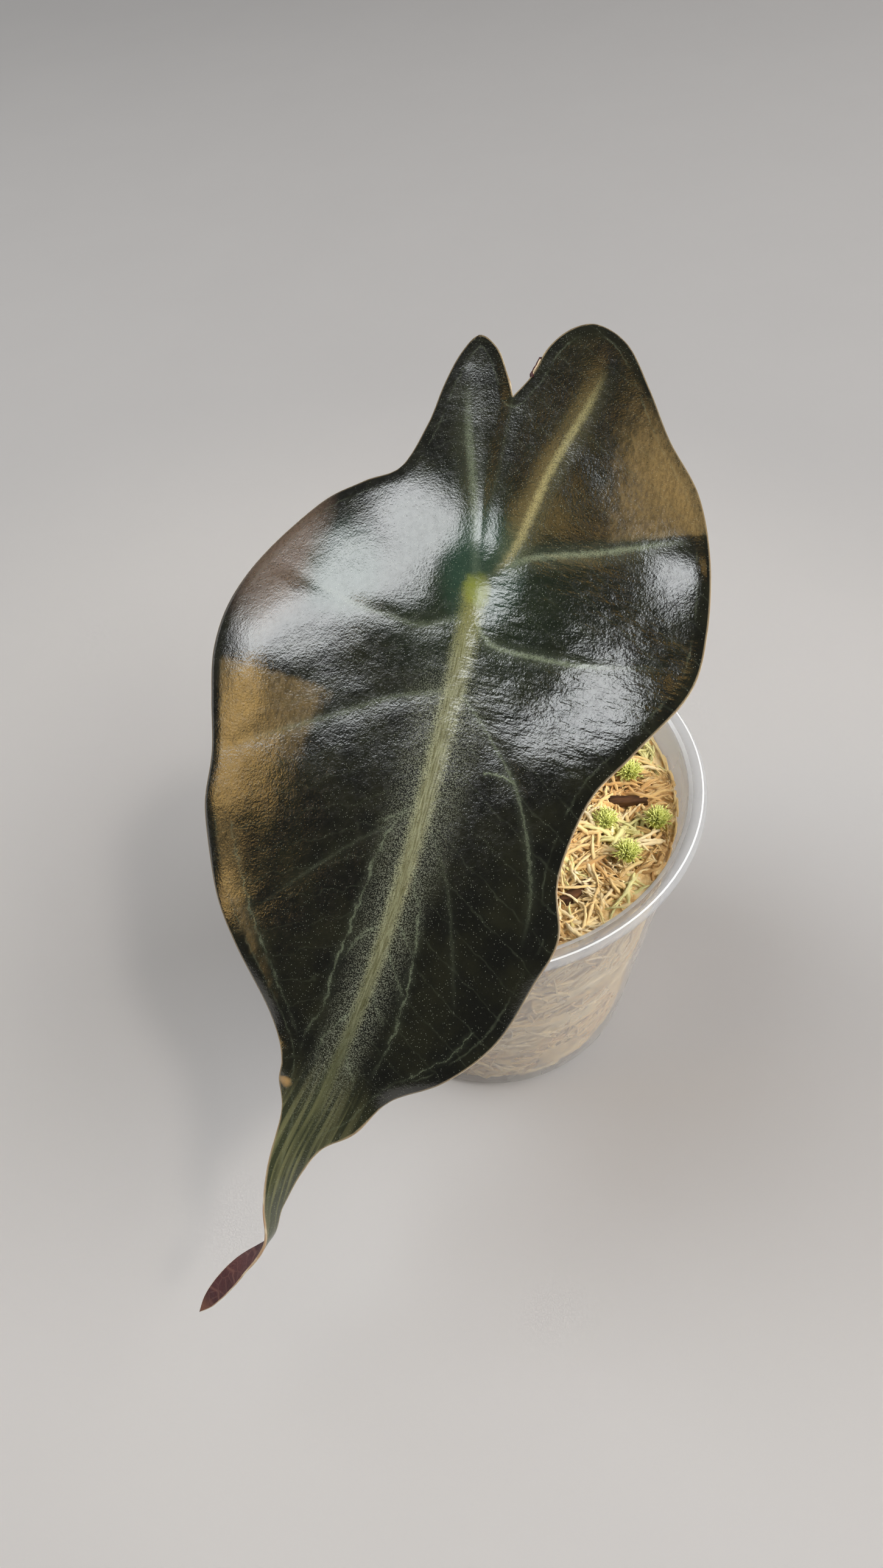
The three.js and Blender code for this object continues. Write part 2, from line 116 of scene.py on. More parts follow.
def painted(tones, base, *layers):
    # lays tones over a base, each as far as its mask says
    for mask, name in layers:
        base = mixColour(mask, base, tones[name])
    return base


def fade(value, start, end, low=0, high=1):
    # eases from low to high while the value goes from start to end
    ends = enumerate((value, start, end, low, high))
    return addNode(value.id_data, "ShaderNodeMapRange", ends, interpolation_type="SMOOTHSTEP").outputs[0]


def grain(place, scale, detail=3, roughness=0.55, stretch=None):
    tree = place.id_data
    if stretch:
        place = addNode(tree, "ShaderNodeMapping", {"Vector": place, "Scale": stretch}).outputs[0]
    values = {"Vector": place, "Scale": scale, "Detail": detail, "Roughness": roughness}
    return addNode(tree, "ShaderNodeTexNoise", values).outputs["Fac"]


def waver(place, scale, size, detail=2, roughness=0.55):
    # soft noise around zero
    return times(minus(grain(place, scale, detail, roughness), 0.5), size)


def cells(place, scale, feature="F1"):
    values = {"Vector": place, "Scale": scale}
    return addNode(place.id_data, "ShaderNodeTexVoronoi", values, feature=feature).outputs


def objectPlace(tree):
    return addNode(tree, "ShaderNodeTexCoord").outputs["Object"]


def attributeOf(tree, name, output="Fac"):
    return addNode(tree, "ShaderNodeAttribute", attribute_name=name).outputs[output]


def partsOf(vector):
    return addNode(vector.id_data, "ShaderNodeSeparateXYZ", {0: vector}).outputs


def coat(shader, tone, roughness, height=None, depth=0):
    # the colour, the roughness and a bump of some depth
    feed(shader.inputs["Base Color"], tone)
    feed(shader.inputs["Roughness"], roughness)
    if height is not None:
        values = {"Height": height, "Distance": depth * mm, "Strength": 1}
        feed(shader.inputs["Normal"], addNode(shader.id_data, "ShaderNodeBump", values).outputs[0])


# Helpers for meshes.

def newPiece(name, mesh, slot, node, *materials):
    piece = bpy.data.objects.new(name, mesh)
    scene.collection.objects.link(piece)
    for material in materials:
        mesh.materials.append(material)
    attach(piece, "root")
    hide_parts(node)


def meshOf(bm, name, smooth=True):
    mesh = bpy.data.meshes.new(name)
    bm.to_mesh(mesh)
    bm.free()
    if smooth:
        mesh.shade_smooth()
    return mesh


def outwards(bm):
    bmesh.ops.recalc_face_normals(bm, faces=bm.faces)


def pointsOf(mesh):
    places = np.empty(len(mesh.vertices) * 3)
    mesh.vertices.foreach_get("co", places)
    return places.reshape(-1, 3)


def setPoints(mesh, places):
    mesh.vertices.foreach_set("co", places.ravel())
    mesh.update()


def setAttribute(mesh, name, values, kind="FLOAT"):
    made = mesh.attributes.new(name, kind, "POINT")
    field = "vector" if kind == "FLOAT_VECTOR" else "value"
    made.data.foreach_set(field, np.asarray(values, float).ravel())


# The same smooth curves as the model's: values from rows that start with their key.
def rowsAt(rows, keys):
    table = np.array(rows, float)
    key, value = table[:, 0], table[:, 1:]
    gradient = np.empty_like(value)
    gradient[1:-1] = (value[2:] - value[:-2]) / (key[2:] - key[:-2])[:, None]
    gradient[0] = (value[1] - value[0]) / (key[1] - key[0])
    gradient[-1] = (value[-1] - value[-2]) / (key[-1] - key[-2])
    x = np.clip(keys, key[0], key[-1])
    i = np.clip(np.searchsorted(key, x, side="right") - 1, 0, len(key) - 2)
    width = (key[i + 1] - key[i])[:, None]
    u = (x - key[i])[:, None] / width
    start = (2 * u**3 - 3 * u**2 + 1) * value[i] + (u**3 - 2 * u**2 + u) * width * gradient[i]
    end = (3 * u**2 - 2 * u**3) * value[i + 1] + (u**3 - u**2) * width * gradient[i + 1]
    return start + end


def rowAt(rows, keys):
    return rowsAt(rows, keys)[:, 0]


def smoothStep(x):
    u = np.clip(x, 0, 1)
    return u * u * (3 - 2 * u)


def bell(distance, width):
    return np.exp(-((distance / width) ** 2))


def unit(vectors):
    return vectors / np.linalg.norm(vectors, axis=-1, keepdims=True)


def noiseAt(points, size, seed=0.0):
    return np.array([noise.noise(Vector((x / size, y / size, z / size + seed))) for x, y, z in points])


def smoothLine(points, steps):
    # a Catmull-Rom line through the points
    given = np.array(points, float)
    held = np.vstack([given[0], given, given[-1]])
    line = []
    for i in range(len(given) - 1):
        a, b, c, d = held[i : i + 4]
        for u in np.arange(steps) / steps:
            bend = (2 * a - 5 * b + 4 * c - d) * u**2 + (3 * b - a - 3 * c + d) * u**3
            line.append(0.5 * (2 * b + (c - a) * u + bend))
    line.append(given[-1])
    return np.array(line)


def alongLine(line, s, t):
    # signed distance to a line in the leaf's s and t, and the share of the line where it is nearest
    least = np.full(s.shape, 1e9)
    side = np.ones(s.shape)
    share = np.zeros(s.shape)
    for i in range(len(line) - 1):
        run = line[i + 1] - line[i]
        u = np.clip(((s - line[i, 0]) * run[0] + (t - line[i, 1]) * run[1]) / (run @ run), 0, 1)
        ds = s - line[i, 0] - u * run[0]
        dt = t - line[i, 1] - u * run[1]
        distance = np.hypot(ds, dt)
        nearer = distance < least
        least = np.where(nearer, distance, least)
        side = np.where(nearer, np.sign(run[0] * dt - run[1] * ds + 1e-12), side)
        share = np.where(nearer, (i + u) / (len(line) - 1), share)
    return least * side, share


def growTube(bm, line, radii, sides):
    # a capped tube through the points of a line, one extruded ring for each
    line = [Vector(point) for point in line]
    normal = Vector((0.31, 0.17, 0.93))  # any start that no line runs along
    frames = []
    for i, point in enumerate(line):
        run = (line[min(i + 1, len(line) - 1)] - line[max(i - 1, 0)]).normalized()
        normal = (normal - run * normal.dot(run)).normalized()
        turned = Matrix((normal, run.cross(normal), run)).transposed().to_4x4()
        frames.append(Matrix.Translation(point) @ turned @ Matrix.Scale(radii[i], 4))
    ring = bmesh.ops.create_circle(bm, cap_ends=True, radius=1, segments=sides, matrix=frames[0])["verts"]
    face = ring[0].link_faces[0]
    for before, after in zip(frames, frames[1:]):
        grown = bmesh.ops.extrude_face_region(bm, geom=[face, *face.edges])["geom"]
        face = next(item for item in grown if isinstance(item, bmesh.types.BMFace))
        bmesh.ops.transform(bm, matrix=after @ before.inverted(), verts=list(face.verts))


def spinProfile(profile, around):
    # a closed or axis-to-axis profile of radius and height, spun all the way round
    bm = bmesh.new()
    verts = [bm.verts.new((radius * mm, 0, z * mm)) for radius, z in profile]
    edges = [bm.edges.new(pair) for pair in zip(verts, verts[1:])]
    whole = 2 * math.pi
    bmesh.ops.spin(
        bm, geom=verts + edges, cent=(0, 0, 0), axis=(0, 0, 1), angle=whole, steps=around, use_merge=True
    )
    bmesh.ops.remove_doubles(bm, verts=bm.verts, dist=0.002 * mm)
    outwards(bm)
    return bm


# The camera of the photograph: where it stands, its tilt and roll, and its focal length in pixels.
cameraView = {
    "place": (-6.9, -159.1, 253.7),
    "down": 48.6,
    "roll": -7.9,
    "focalPixels": 1900,
    "framePixels": 2576,
    "sensor": 36,
    "clipStart": 5,
}


def makeCamera():
    data = bpy.data.cameras.new("camera")
    data.sensor_fit = "VERTICAL"
    data.sensor_height = cameraView["sensor"]
    data.lens = cameraView["focalPixels"] / cameraView["framePixels"] * data.sensor_height
    data.clip_start = cameraView["clipStart"] * mm
    camera = bpy.data.objects.new("camera", data)
    tilt = Matrix.Rotation(math.radians(90 - cameraView["down"]), 4, "X")
    roll = Matrix.Rotation(math.radians(cameraView["roll"]), 4, "Z")
    camera.matrix_world = Matrix.Translation(Vector(cameraView["place"]) * mm) @ tilt @ roll
    scene.collection.objects.link(camera)
    scene.camera = camera


# The studio: each light's way from its target, how far off and how large it is, its power and colour.
studio = {
    "target": (0, -15, 110),
    "far": 1500,
    "up": (0.199, 0.935, 0.294),
    "lights": {
        "window": {
            "way": (-0.522, 0.175, 0.835),
            "size": (1430, 830),
            "power": 23.5,
            "colour": (0.94, 0.97, 0.98),
        },
        "warmLeft": {
            "way": (-0.857, -0.085, 0.503),
            "size": (580, 420),
            "power": 2.6,
            "colour": (1, 0.62, 0.2),
        },
        "warmRight": {
            "way": (0.32, 0.17, 0.93),
            "size": (475, 475),
            "power": 0.9,
            "colour": (1, 0.62, 0.2),
        },
        "fill": {
            "way": (0.78, -0.3, 0.55),
            "up": (0, 0, 1),
            "size": (2000, 1250),
            "power": 46,
            "colour": (1, 0.98, 0.95),
            "mirrored": False,
        },
        "cupSpot": {
            "target": (27, -10, 64),
            "way": (0.4, -0.4, 0.82),
            "up": (0, 0, 1),
            "far": 700,
            "cone": 8,
            "blend": 0.6,
            "soft": 200,
            "power": 130,
            "colour": (1, 0.93, 0.8),
            "mirrored": False,
        },
    },
    "sky": 0.07,
    "skyColour": (0.93, 0.95, 1),
    "backdrop": (0.47, 0.465, 0.46),
    "floorHalf": 2500,
    "floorFade": (0.8, 1.8),
    "floorColour": (0.325, 0.319, 0.321),
    "floorMottle": 0.96,
}


def addLight(name, light):
    setting = {**studio, **light}
    data = bpy.data.lights.new(name, "SPOT" if "cone" in light else "AREA")
    data.energy = setting["power"]
    data.color = setting["colour"]
    if "cone" in light:
        data.spot_size = math.radians(light["cone"])
        data.spot_blend = light["blend"]
        data.shadow_soft_size = light["soft"] * mm
    else:
        data.shape = "RECTANGLE"
        data.size, data.size_y = (side * mm for side in light["size"])
    lamp = bpy.data.objects.new(name, data)
    back = Vector(setting["way"]).normalized()
    right = Vector(setting["up"]).cross(back).normalized()
    turned = Matrix((right, back.cross(right), back)).transposed().to_4x4()
    place = (Vector(setting["target"]) + back * setting["far"]) * mm
    lamp.matrix_world = Matrix.Translation(place) @ turned
    lamp.visible_glossy = setting.get("mirrored", True)
    scene.collection.objects.link(lamp)


def makeStudio():
    for name, light in studio["lights"].items():
        addLight(name, light)
    world = bpy.data.worlds.new("studio")
    world.use_nodes = True
    tree = world.node_tree
    sky = tree.nodes["Background"]
    feed(sky.inputs["Color"], studio["skyColour"])
    feed(sky.inputs["Strength"], studio["sky"])
    backdrop = addNode(tree, "ShaderNodeBackground", {"Color": studio["backdrop"]})
    seen = addNode(tree, "ShaderNodeLightPath").outputs["Is Camera Ray"]
    mixed = addNode(tree, "ShaderNodeMixShader", {0: seen, 1: sky.outputs[0], 2: backdrop.outputs[0]})
    feed(tree.nodes["World Output"].inputs[0], mixed.outputs[0])
    scene.world = world
    scene.view_settings.view_transform = "Standard"

    bm = bmesh.new()
    bmesh.ops.create_grid(bm, x_segments=1, y_segments=1, size=studio["floorHalf"] * mm)
    floor = bpy.data.objects.new("floor", meshOf(bm, "floor", smooth=False))
    material, tree, shader = newMaterial("floorPaint")
    place = objectPlace(tree)
    away = addNode(tree, "ShaderNodeVectorMath", {0: place}, operation="LENGTH").outputs["Value"]
    feed(shader.inputs["Alpha"], fade(away, *studio["floorFade"], 1, 0))
    darker = tuple(studio["floorMottle"] * channel for channel in studio["floorColour"])
    coat(shader, mixColour(grain(place, 18), darker, studio["floorColour"]), 0.75)
    floor.data.materials.append(material)
    scene.collection.objects.link(floor)


# The leaf: s runs along the blade from the stalk's joint to the tip, and t across it to the right.
leafShape = {
    "joint": (3.5, -7.5, 130),
    "heading": 32.3,
    "slope": 36.7,
    "roll": 9,
    "thickness": 0.5,
    "columns": 300,
    "rows": 120,
    "crowding": 1.15,
    "lift": 0.17,
    "fall": 0.0021,
    "dripStart": 84,
    "dripBlend": 14,
    "rollSpanLeft": 30,
    "rollSpanRight": 35,
    "waveHeight": 0.8,
    "waves": 11,
    "waveHold": 4,
    "waveStart": 38,
    "waveBlend": 24,
    "waveShiftLeft": 0.4,
    "dimpleDepth": 1.2,
    "dimpleRadius": 5,
    "valleySpread": 0.9,
    "ribFade": 4,
    "wrinkle": 0.07,
    "wrinkleSize": 4.5,
    "lip": 0.4,
    "lipWidth": 2.6,
    "rimRound": 0.14,
    "mapSize": 100,
    "wart": (90, -6.6),
    "featherSpacing": 5.2,
    "featherLean": 0.55,
    "gloss": (0.14, 0.24),
}
leafTones = {
    "black": (0.0032, 0.0034, 0.0018),
    "olive": (0.0085, 0.0088, 0.0038),
    "green": (0.009, 0.016, 0.007),
    "copperReflection": (0.12, 0.084, 0.035),
    "paintedRoseSheen": (0.185, 0.12, 0.08),
    "sage": (0.14, 0.165, 0.11),
    "teal": (0.018, 0.05, 0.034),
    "tan": (0.18, 0.165, 0.078),
    "ribDark": (0.085, 0.082, 0.036),
    "ribPale": (0.27, 0.28, 0.18),
    "ribTop": (0.11, 0.11, 0.026),
    "heart": (0.11, 0.13, 0.01),
    "drip": (0.03, 0.035, 0.016),
    "stripe": (0.13, 0.13, 0.06),
    "margin": (0.26, 0.2, 0.12),
    "wart": (0.4, 0.25, 0.1),
    "powder": (0.22, 0.235, 0.18),
    "glint": (0.34, 0.37, 0.3),
    "maroonDark": (0.03, 0.008, 0.011),
    "maroon": (0.062, 0.018, 0.021),
    "underNet": (0.16, 0.075, 0.06),
    "underVein": (0.24, 0.18, 0.1),
    "underRib": (0.23, 0.21, 0.1),
    "underHeart": (0.27, 0.3, 0.09),
    "underTip": (0.12, 0.05, 0.03),
    "rimDark": (0.3, 0.2, 0.12),
    "rimPale": (0.46, 0.39, 0.28),
}

# Each station of the outline: s at the middle line, then s and t on the left edge, then on the right.
outlineStations = [
    (-35.5, -35.5, 0, -35.5, 0),
    (-33, -40, -1.9, -40.5, 2.8),
    (-30, -44.5, -4.5, -47, 5),
    (-27, -46.5, -8.3, -52, 8.8),
    (-23.5, -42, -11.3, -53.9, 13.5),
    (-19.5, -35, -13.3, -51, 19.2),
    (-15, -26.5, -14.6, -43, 24),
    (-10, -17.3, -17.4, -34.2, 28.5),
    (-5, -13.7, -24.5, -25.6, 34.5),
    (0, -8.7, -32.2, -15, 37.6),
    (6, 2, -40.6, -2.7, 38.8),
    (13, 12, -45, 7.8, 37.6),
    (22, 22, -45.4, 20, 31),
    (31, 31, -43.2, 29, 26),
    (41, 40, -40.4, 42, 24.2),
    (51, 50, -38.6, 51.5, 27),
    (61, 61, -33, 60, 25.4),
    (71, 70, -24.5, 71, 23),
    (80, 79, -14.8, 80, 17.7),
    (86, 85.3, -9.1, 86.5, 10.8),
    (91, 90.5, -7.8, 92.5, 8),
    (97, 96, -4.7, 97.5, 4.4),
    (104, 104, -3, 104, 3),
    (112, 112, -2, 112, 2),
    (120, 120, -1.5, 120, 1.5),
    (129, 129, -1.7, 129, 1.7),
    (135, 135, -1.2, 135, 1.2),
    (138.6, 138.6, 0, 138.6, 0),
]

# Rows of s and a value: the middle line's sway, the tip's twist, and how far each side rolls down.
middleSway = [
    (-54, -10), (-36, -6.3), (-18, -3), (0, 0), (14, 1.8), (45, 3.7), (70, 3),
    (88, 0.6), (103, -2.5), (112, -2.9), (119, -2.4), (126, -6.5), (133, -10), (140, -13),
]
tipTwist = [
    (-54, 0), (92, 0), (102, -8), (108, -28), (114, -62), (119, -92), (124, -140), (130, -165), (140, -170),
]
rollLeft = [(-54, 12), (-37, 10), (-20, 7), (0, 4), (25, 2.5), (70, 2.5), (88, 3), (140, 4)]
rollRight = [(-54, 1), (-20, 1), (10, 0), (40, 0), (70, 2.5), (90, 3), (140, 4)]

# Soft pillows and one hollow between the main veins: s, t, radius and height.
pillows = [
    (-9, 1, 13, 2.3),
    (-16, -16, 10, 1.9),
    (-4, -27, 6, 0.6),
    (5, -16, 12, 2.1),
    (9, -33, 7, 0.8),
    (20, -36, 12, 2.8),
    (38, -24, 14, 1),
    (-26, 26, 10, 0.8),
    (11, 18, 7, -0.6),
    (-12, 39, 8, 2.6),
    (17, 34, 12, 2.2),
    (28, 20, 10, 1),
    (50, 12, 13, 1),
]

# Each vein: the width and height of its rib, the valley above it, how wide and how strong the pale line
# on the upper face is, and its points in s and t from the joint outwards.
midrib = {"width": 1.7, "rib": 1.6, "valley": 0.15, "end": 118}
veinRows = [
    (1.6, 0.5, 0.15, 0.5, 0.08, [(-36, 0), (-18, 0.2), (0, 0)]),
    (2, 0.9, 0.2, 1.3, 0.5, [(0, 0), (-14, -2.8), (-27, -6.6), (-38, -9)]),
    (2, 1, 0.2, 1.2, 0.9, [(0, 0), (-7, 5.4), (-23, 9), (-38, 14), (-46, 16)]),
    (1.8, 0.8, 0.15, 0.9, 0.7, [(-4, 4.5), (-7, 9), (-11, 19.5), (-15, 29), (-17, 35)]),
    (1.8, 0.8, 0.15, 0.7, 0.75, [(5, 0), (9, 4.5), (9, 12), (8, 21), (5, 34)]),
    (1.8, 0.7, 0.15, 0.45, 0.42, [(17, 0), (24, 8), (32, 15), (45, 20.5), (56, 22)]),
    (1.6, 0.5, 0.1, 0.5, 0.12, [(38, 0), (48, 7), (60, 12), (70, 15.5)]),
    (1.8, 0.8, 0.15, 0.9, 0.32, [(5, 0), (9, -7.5), (9, -13.5), (8.5, -20.5), (5, -36)]),
    (1.8, 0.7, 0.1, 0.8, 0.32, [(18, 0), (22, -10), (27, -18), (34, -30), (38, -37)]),
    (1.6, 0.5, 0.1, 0.5, 0.12, [(38, 0), (46, -9), (56, -18), (64, -24)]),
]
veins = [dict(zip(("width", "rib", "valley", "line", "pale", "points"), row)) for row in veinRows]
tanVein = 2  # the right lobe's own, in a warmer tone

# Lines that are only coloured, with their width, strength and points: the branches beside the midrib,
# the lines along the margins and a scar.
branches = [
    (0.4, 0.6, [(36, -0.5), (38.5, -2), (41, -5), (43, -8)]),
    (0.4, 0.7, [(42, -4), (47, -5.5), (58, -6), (66, -6.5), (75, -6), (81, -7), (85, -5.5)]),
    (0.4, 0.7, [(58, -1), (59.5, -2.5), (62, -4.5), (67.5, -6)]),
    (0.4, 0.7, [(46, 0.5), (49, 1.5), (55.5, 4.5), (64, 6), (75.5, 7), (81, 6.5), (88, 6)]),
    (0.32, 0.6, [(56.5, 0.5), (58, 2.5), (60.5, 5), (62, 6)]),
    (0.34, 0.6, [(61, 0.5), (63, 2), (68, 5.5), (71, 5.5)]),
    (0.34, 0.6, [(68, 0.5), (70.5, 1.5), (72.5, 3.5), (75, 5)]),
    (0.36, 0.7, [(72, -0.5), (74.5, -1.5), (80.5, -4), (85.5, -2.5)]),
    (0.32, 0.6, [(80, 0.5), (82, 1.5), (84.5, 3.5), (87, 5)]),
    (0.36, 0.5, [(50, -33), (56, -29.5), (61.5, -25.5), (68, -20), (79, -10), (84, -6)]),
    (0.26, 0.4, [(70, 19), (75, 17), (79.5, 13.5), (83.5, 10), (89, 5.5)]),
    (0.3, 1.2, [(29.5, 8), (29, 11), (29.5, 13), (31, 15)]),
]

# The blade's own axes: along it to the tip, across it to the right, and out of its upper face.
heading, slope, leafRoll = (math.radians(leafShape[name]) for name in ("heading", "slope", "roll"))
level = math.cos(slope)
bladeAlong = Vector((-math.sin(heading) * level, -math.cos(heading) * level, -math.sin(slope)))
bladeAcross = Matrix.Rotation(-leafRoll, 3, bladeAlong) @ Vector((math.cos(heading), -math.sin(heading), 0))
bladeUp = bladeAlong.cross(bladeAcross)


def middleAt(s):
    height = leafShape["lift"] * s - leafShape["fall"] * s * s
    parts = s[:, None] * bladeAlong + rowsAt(middleSway, s) * bladeAcross + height[:, None] * bladeUp
    return np.array(leafShape["joint"]) + parts


def dripShare(s):
    return smoothStep((s - leafShape["dripStart"]) / leafShape["dripBlend"])


def bladeFrame(s):
    # across and out of the blade, which turns with the middle line and the twist in the drip tip
    near = 0.6
    run = unit(middleAt(s + near) - middleAt(s - near))
    side = unit(np.cross(np.array(bladeUp), run))
    out = unit(np.cross(run, side))
    share = dripShare(s)[:, None]
    side = unit(side * share + np.array(bladeAcross) * (1 - share))
    out = unit(out * share + np.array(bladeUp) * (1 - share))
    turn = np.radians(rowsAt(tipTwist, s))
    return side * np.cos(turn) + out * np.sin(turn), out * np.cos(turn) - side * np.sin(turn)


def veinLines(s, t):
    return [alongLine(smoothLine(vein["points"], 8), s, t) for vein in veins]


def bladeRelief(s, t, edge, place, lines):
    # the rolled sides, the pillows, the waved edge, the valleys and the dimple over the joint
    left = t < 0
    span = np.where(left, leafShape["rollSpanLeft"], leafShape["rollSpanRight"])
    roll = np.where(left, rowAt(rollLeft, s), rowAt(rollRight, s)) * (t / span) ** 2
    puffs = sum(height * bell(np.hypot(s - ps, t - pt), radius) for ps, pt, radius, height in pillows)
    phase = place * leafShape["waves"] + np.where(left, leafShape["waveShiftLeft"], 0)
    grown = smoothStep((s - leafShape["waveStart"]) / leafShape["waveBlend"])
    wave = leafShape["waveHeight"] * (grown * edge ** leafShape["waveHold"]) * np.sin(phase * 2 * np.pi)
    spread = leafShape["valleySpread"]
    valley = midrib["valley"] * bell(t, spread * midrib["width"])
    for vein, (distance, _) in zip(veins, lines):
        valley = np.maximum(valley, vein["valley"] * bell(distance, spread * vein["width"]))
    sink = leafShape["dimpleDepth"] * bell(np.hypot(s, t), leafShape["dimpleRadius"])
    return (puffs + wave - valley) * (1 - dripShare(s)) - roll - sink


def ribDepth(s, t, lines):
    taper = smoothStep((midrib["end"] - s) / midrib["end"])
    depth = midrib["rib"] * taper * bell(t, midrib["width"]) * (s > 0)
    for vein, (distance, _) in zip(veins, lines):
        depth = np.maximum(depth, vein["rib"] * bell(distance, vein["width"]))
    return depth


def bladeColumns(count):
    # shares along the blade, closer where the outline's stations are closer than its edge is long
    rows = np.array(outlineStations)
    steps = [np.hypot(*np.diff(rows[:, [a, b]], axis=0).T) for a, b in ((1, 2), (3, 4))]
    lengths = np.concatenate([[0], np.cumsum(np.maximum(*steps))])
    return np.interp(np.linspace(0, lengths[-1], count + 1), lengths, np.linspace(0, 1, len(rows)))


def distanceToRim(s, t, left, place, grid):
    onRim = np.abs(np.abs(grid[:, 1]) - 1) < 1e-6
    away = []
    for half in (onRim & left, onRim & ~left):
        order = np.argsort(place[half])
        away.append(np.abs(alongLine(np.column_stack([s, t])[half][order][::3], s, t)[0]))
    return np.minimum(*away)


def makeUpperFace():
    # the upper face as one sheet, with what the lower face and the materials need as attributes
    bm = bmesh.new()
    bmesh.ops.create_grid(bm, x_segments=leafShape["columns"], y_segments=leafShape["rows"], size=1)
    mesh = meshOf(bm, "leafBlade")
    grid = pointsOf(mesh)
    column = np.rint((grid[:, 0] + 1) / 2 * leafShape["columns"]).astype(int)
    place = bladeColumns(leafShape["columns"])[column]
    keyed = [(i / (len(outlineStations) - 1), *row) for i, row in enumerate(outlineStations)]
    midS, leftS, leftT, rightS, rightT = rowsAt(keyed, place).T
    left = grid[:, 1] < 0
    edge = np.abs(grid[:, 1]) ** leafShape["crowding"]
    s = midS + (np.where(left, leftS, rightS) - midS) * edge
    t = np.where(left, leftT, rightT) * edge
    lines = veinLines(s, t)
    height = bladeRelief(s, t, edge, place, lines)
    calm = (1 - dripShare(s)) * (1 - edge**6)
    crease = noiseAt(np.column_stack([s, t, 0 * s]), leafShape["wrinkleSize"], 3)
    height += leafShape["wrinkle"] * crease * calm
    margin = distanceToRim(s, t, left, place, grid)
    height -= leafShape["lip"] * np.clip(1 - margin / leafShape["lipWidth"], 0, 1) ** 2 * (1 - dripShare(s))
    side, out = bladeFrame(s)
    setPoints(mesh, (middleAt(s) + side * t[:, None] + out * height[:, None]) * mm)

    depth = leafShape["thickness"] + ribDepth(s, t, lines) * (1 - edge ** leafShape["ribFade"])
    for name, values in (("leafS", s), ("leafT", t), ("margin", margin), ("depth", depth)):
        setAttribute(mesh, name, values)
    twigs = [alongLine(smoothLine(points, 6), s, t) for _, _, points in branches]
    for name, made in (("vein", lines), ("branch", twigs)):
        for i, (distance, share) in enumerate(made):
            values = np.column_stack([np.clip(distance, -9, 9), share, share * 0])
            setAttribute(mesh, f"{name}{i}", values, "FLOAT_VECTOR")
    return mesh, grid


def makeLeaf():
    mesh, grid = makeUpperFace()
    bm = bmesh.new()
    bm.from_mesh(mesh)
    ends = [vert for vert in bm.verts if abs(abs(grid[vert.index, 0]) - 1) < 1e-6]
    bmesh.ops.remove_doubles(bm, verts=ends, dist=0.05 * mm)
    outwards(bm)
    bm.normal_update()
    if sum(face.normal.dot(bladeUp) for face in bm.faces) < 0:
        bmesh.ops.reverse_faces(bm, faces=bm.faces)
        bm.normal_update()

    # the lower face lies a thickness and a rib's depth below, and a round rim joins the two
    upper = set(bm.faces)
    normals = {}
    depth = bm.verts.layers.float["depth"]
    number = bm.verts.layers.int.new("number")
    for i, vert in enumerate(bm.verts):
        vert[number] = i
        normals[i] = vert.normal.copy()
    made = bmesh.ops.extrude_face_region(bm, geom=list(bm.faces), use_keep_orig=True)["geom"]
    lower = {item for item in made if isinstance(item, bmesh.types.BMFace)}
    below = {item for item in made if isinstance(item, bmesh.types.BMVert)}
    for vert in below:
        vert.co -= normals[vert[number]] * vert[depth] * mm
    for face in bm.faces:
        face.material_index = 0 if face in upper else 1 if face in lower else 2
    outwards(bm)
    walls = [edge for edge in bm.edges if (edge.verts[0] in below) != (edge.verts[1] in below)]
    split = bmesh.ops.subdivide_edges(bm, edges=walls, cuts=1)["geom_inner"]
    bm.normal_update()
    for vert in split:
        if isinstance(vert, bmesh.types.BMVert):
            vert.co += vert.normal * leafShape["rimRound"] * mm

    leafMap, mapSize = bm.loops.layers.uv.new("leafMap"), leafShape["mapSize"]
    layerS, layerT = bm.verts.layers.float["leafS"], bm.verts.layers.float["leafT"]
    for face in bm.faces:
        for loop in face.loops:
            loop[leafMap].uv = (loop.vert[layerS] / mapSize, loop.vert[layerT] / mapSize)
    bm.verts.layers.int.remove(number)
    bm.to_mesh(mesh)
    bm.free()
    mesh.shade_smooth()
    newPiece("leafBlade", mesh, "leaf", "leaf", leafTopMaterial(), leafUnderMaterial(), leafRimMaterial())


def leafPlaces(tree):
    # the leaf's map, and its own s and t in millimetres
    uv = addNode(tree, "ShaderNodeUVMap", uv_map="leafMap").outputs[0]
    s, t, _ = partsOf(uv)
    return uv, times(s, leafShape["mapSize"]), times(t, leafShape["mapSize"])


def lineMask(tree, name, wobble, width, pale, halo, fades):
    # a line with a wider and fainter halo, which fades in at its start and out towards its end
    away, share, _ = partsOf(attributeOf(tree, name, "Vector"))
    away = magnitude(plus(away, wobble))
    line = plus(fade(away, width, 0), fade(away, halo[0] * width, 0, 0, halo[1]))
    fadeIn, fadeOut, gone = fades
    return times(line, fade(share, gone, fadeOut), fade(share, 0, fadeIn), pale)


def veinMask(tree, i, wobble):
    line, pale = veins[i]["line"], veins[i]["pale"]
    return lineMask(tree, f"vein{i}", wobble, line, pale, (3.4, 0.3), (0.02, 0.6, 0.99))


def branchMask(tree, wobble):
    masks = [
        lineMask(tree, f"branch{i}", wobble, width, pale, (4, 0.2), (0.05, 0.5, 0.98))
        for i, (width, pale, _) in enumerate(branches)
    ]
    return most(*masks)


def feathers(s, t, width):
    # fine veins that leave the midrib at an angle
    spacing, lean = leafShape["featherSpacing"], leafShape["featherLean"]
    along = minus(s, times(magnitude(t), lean))
    phase = calc("FRACT", calc("DIVIDE", along, spacing))
    away = times(magnitude(minus(phase, 0.5)), spacing / math.hypot(1, lean))
    return fade(away, width, 0)


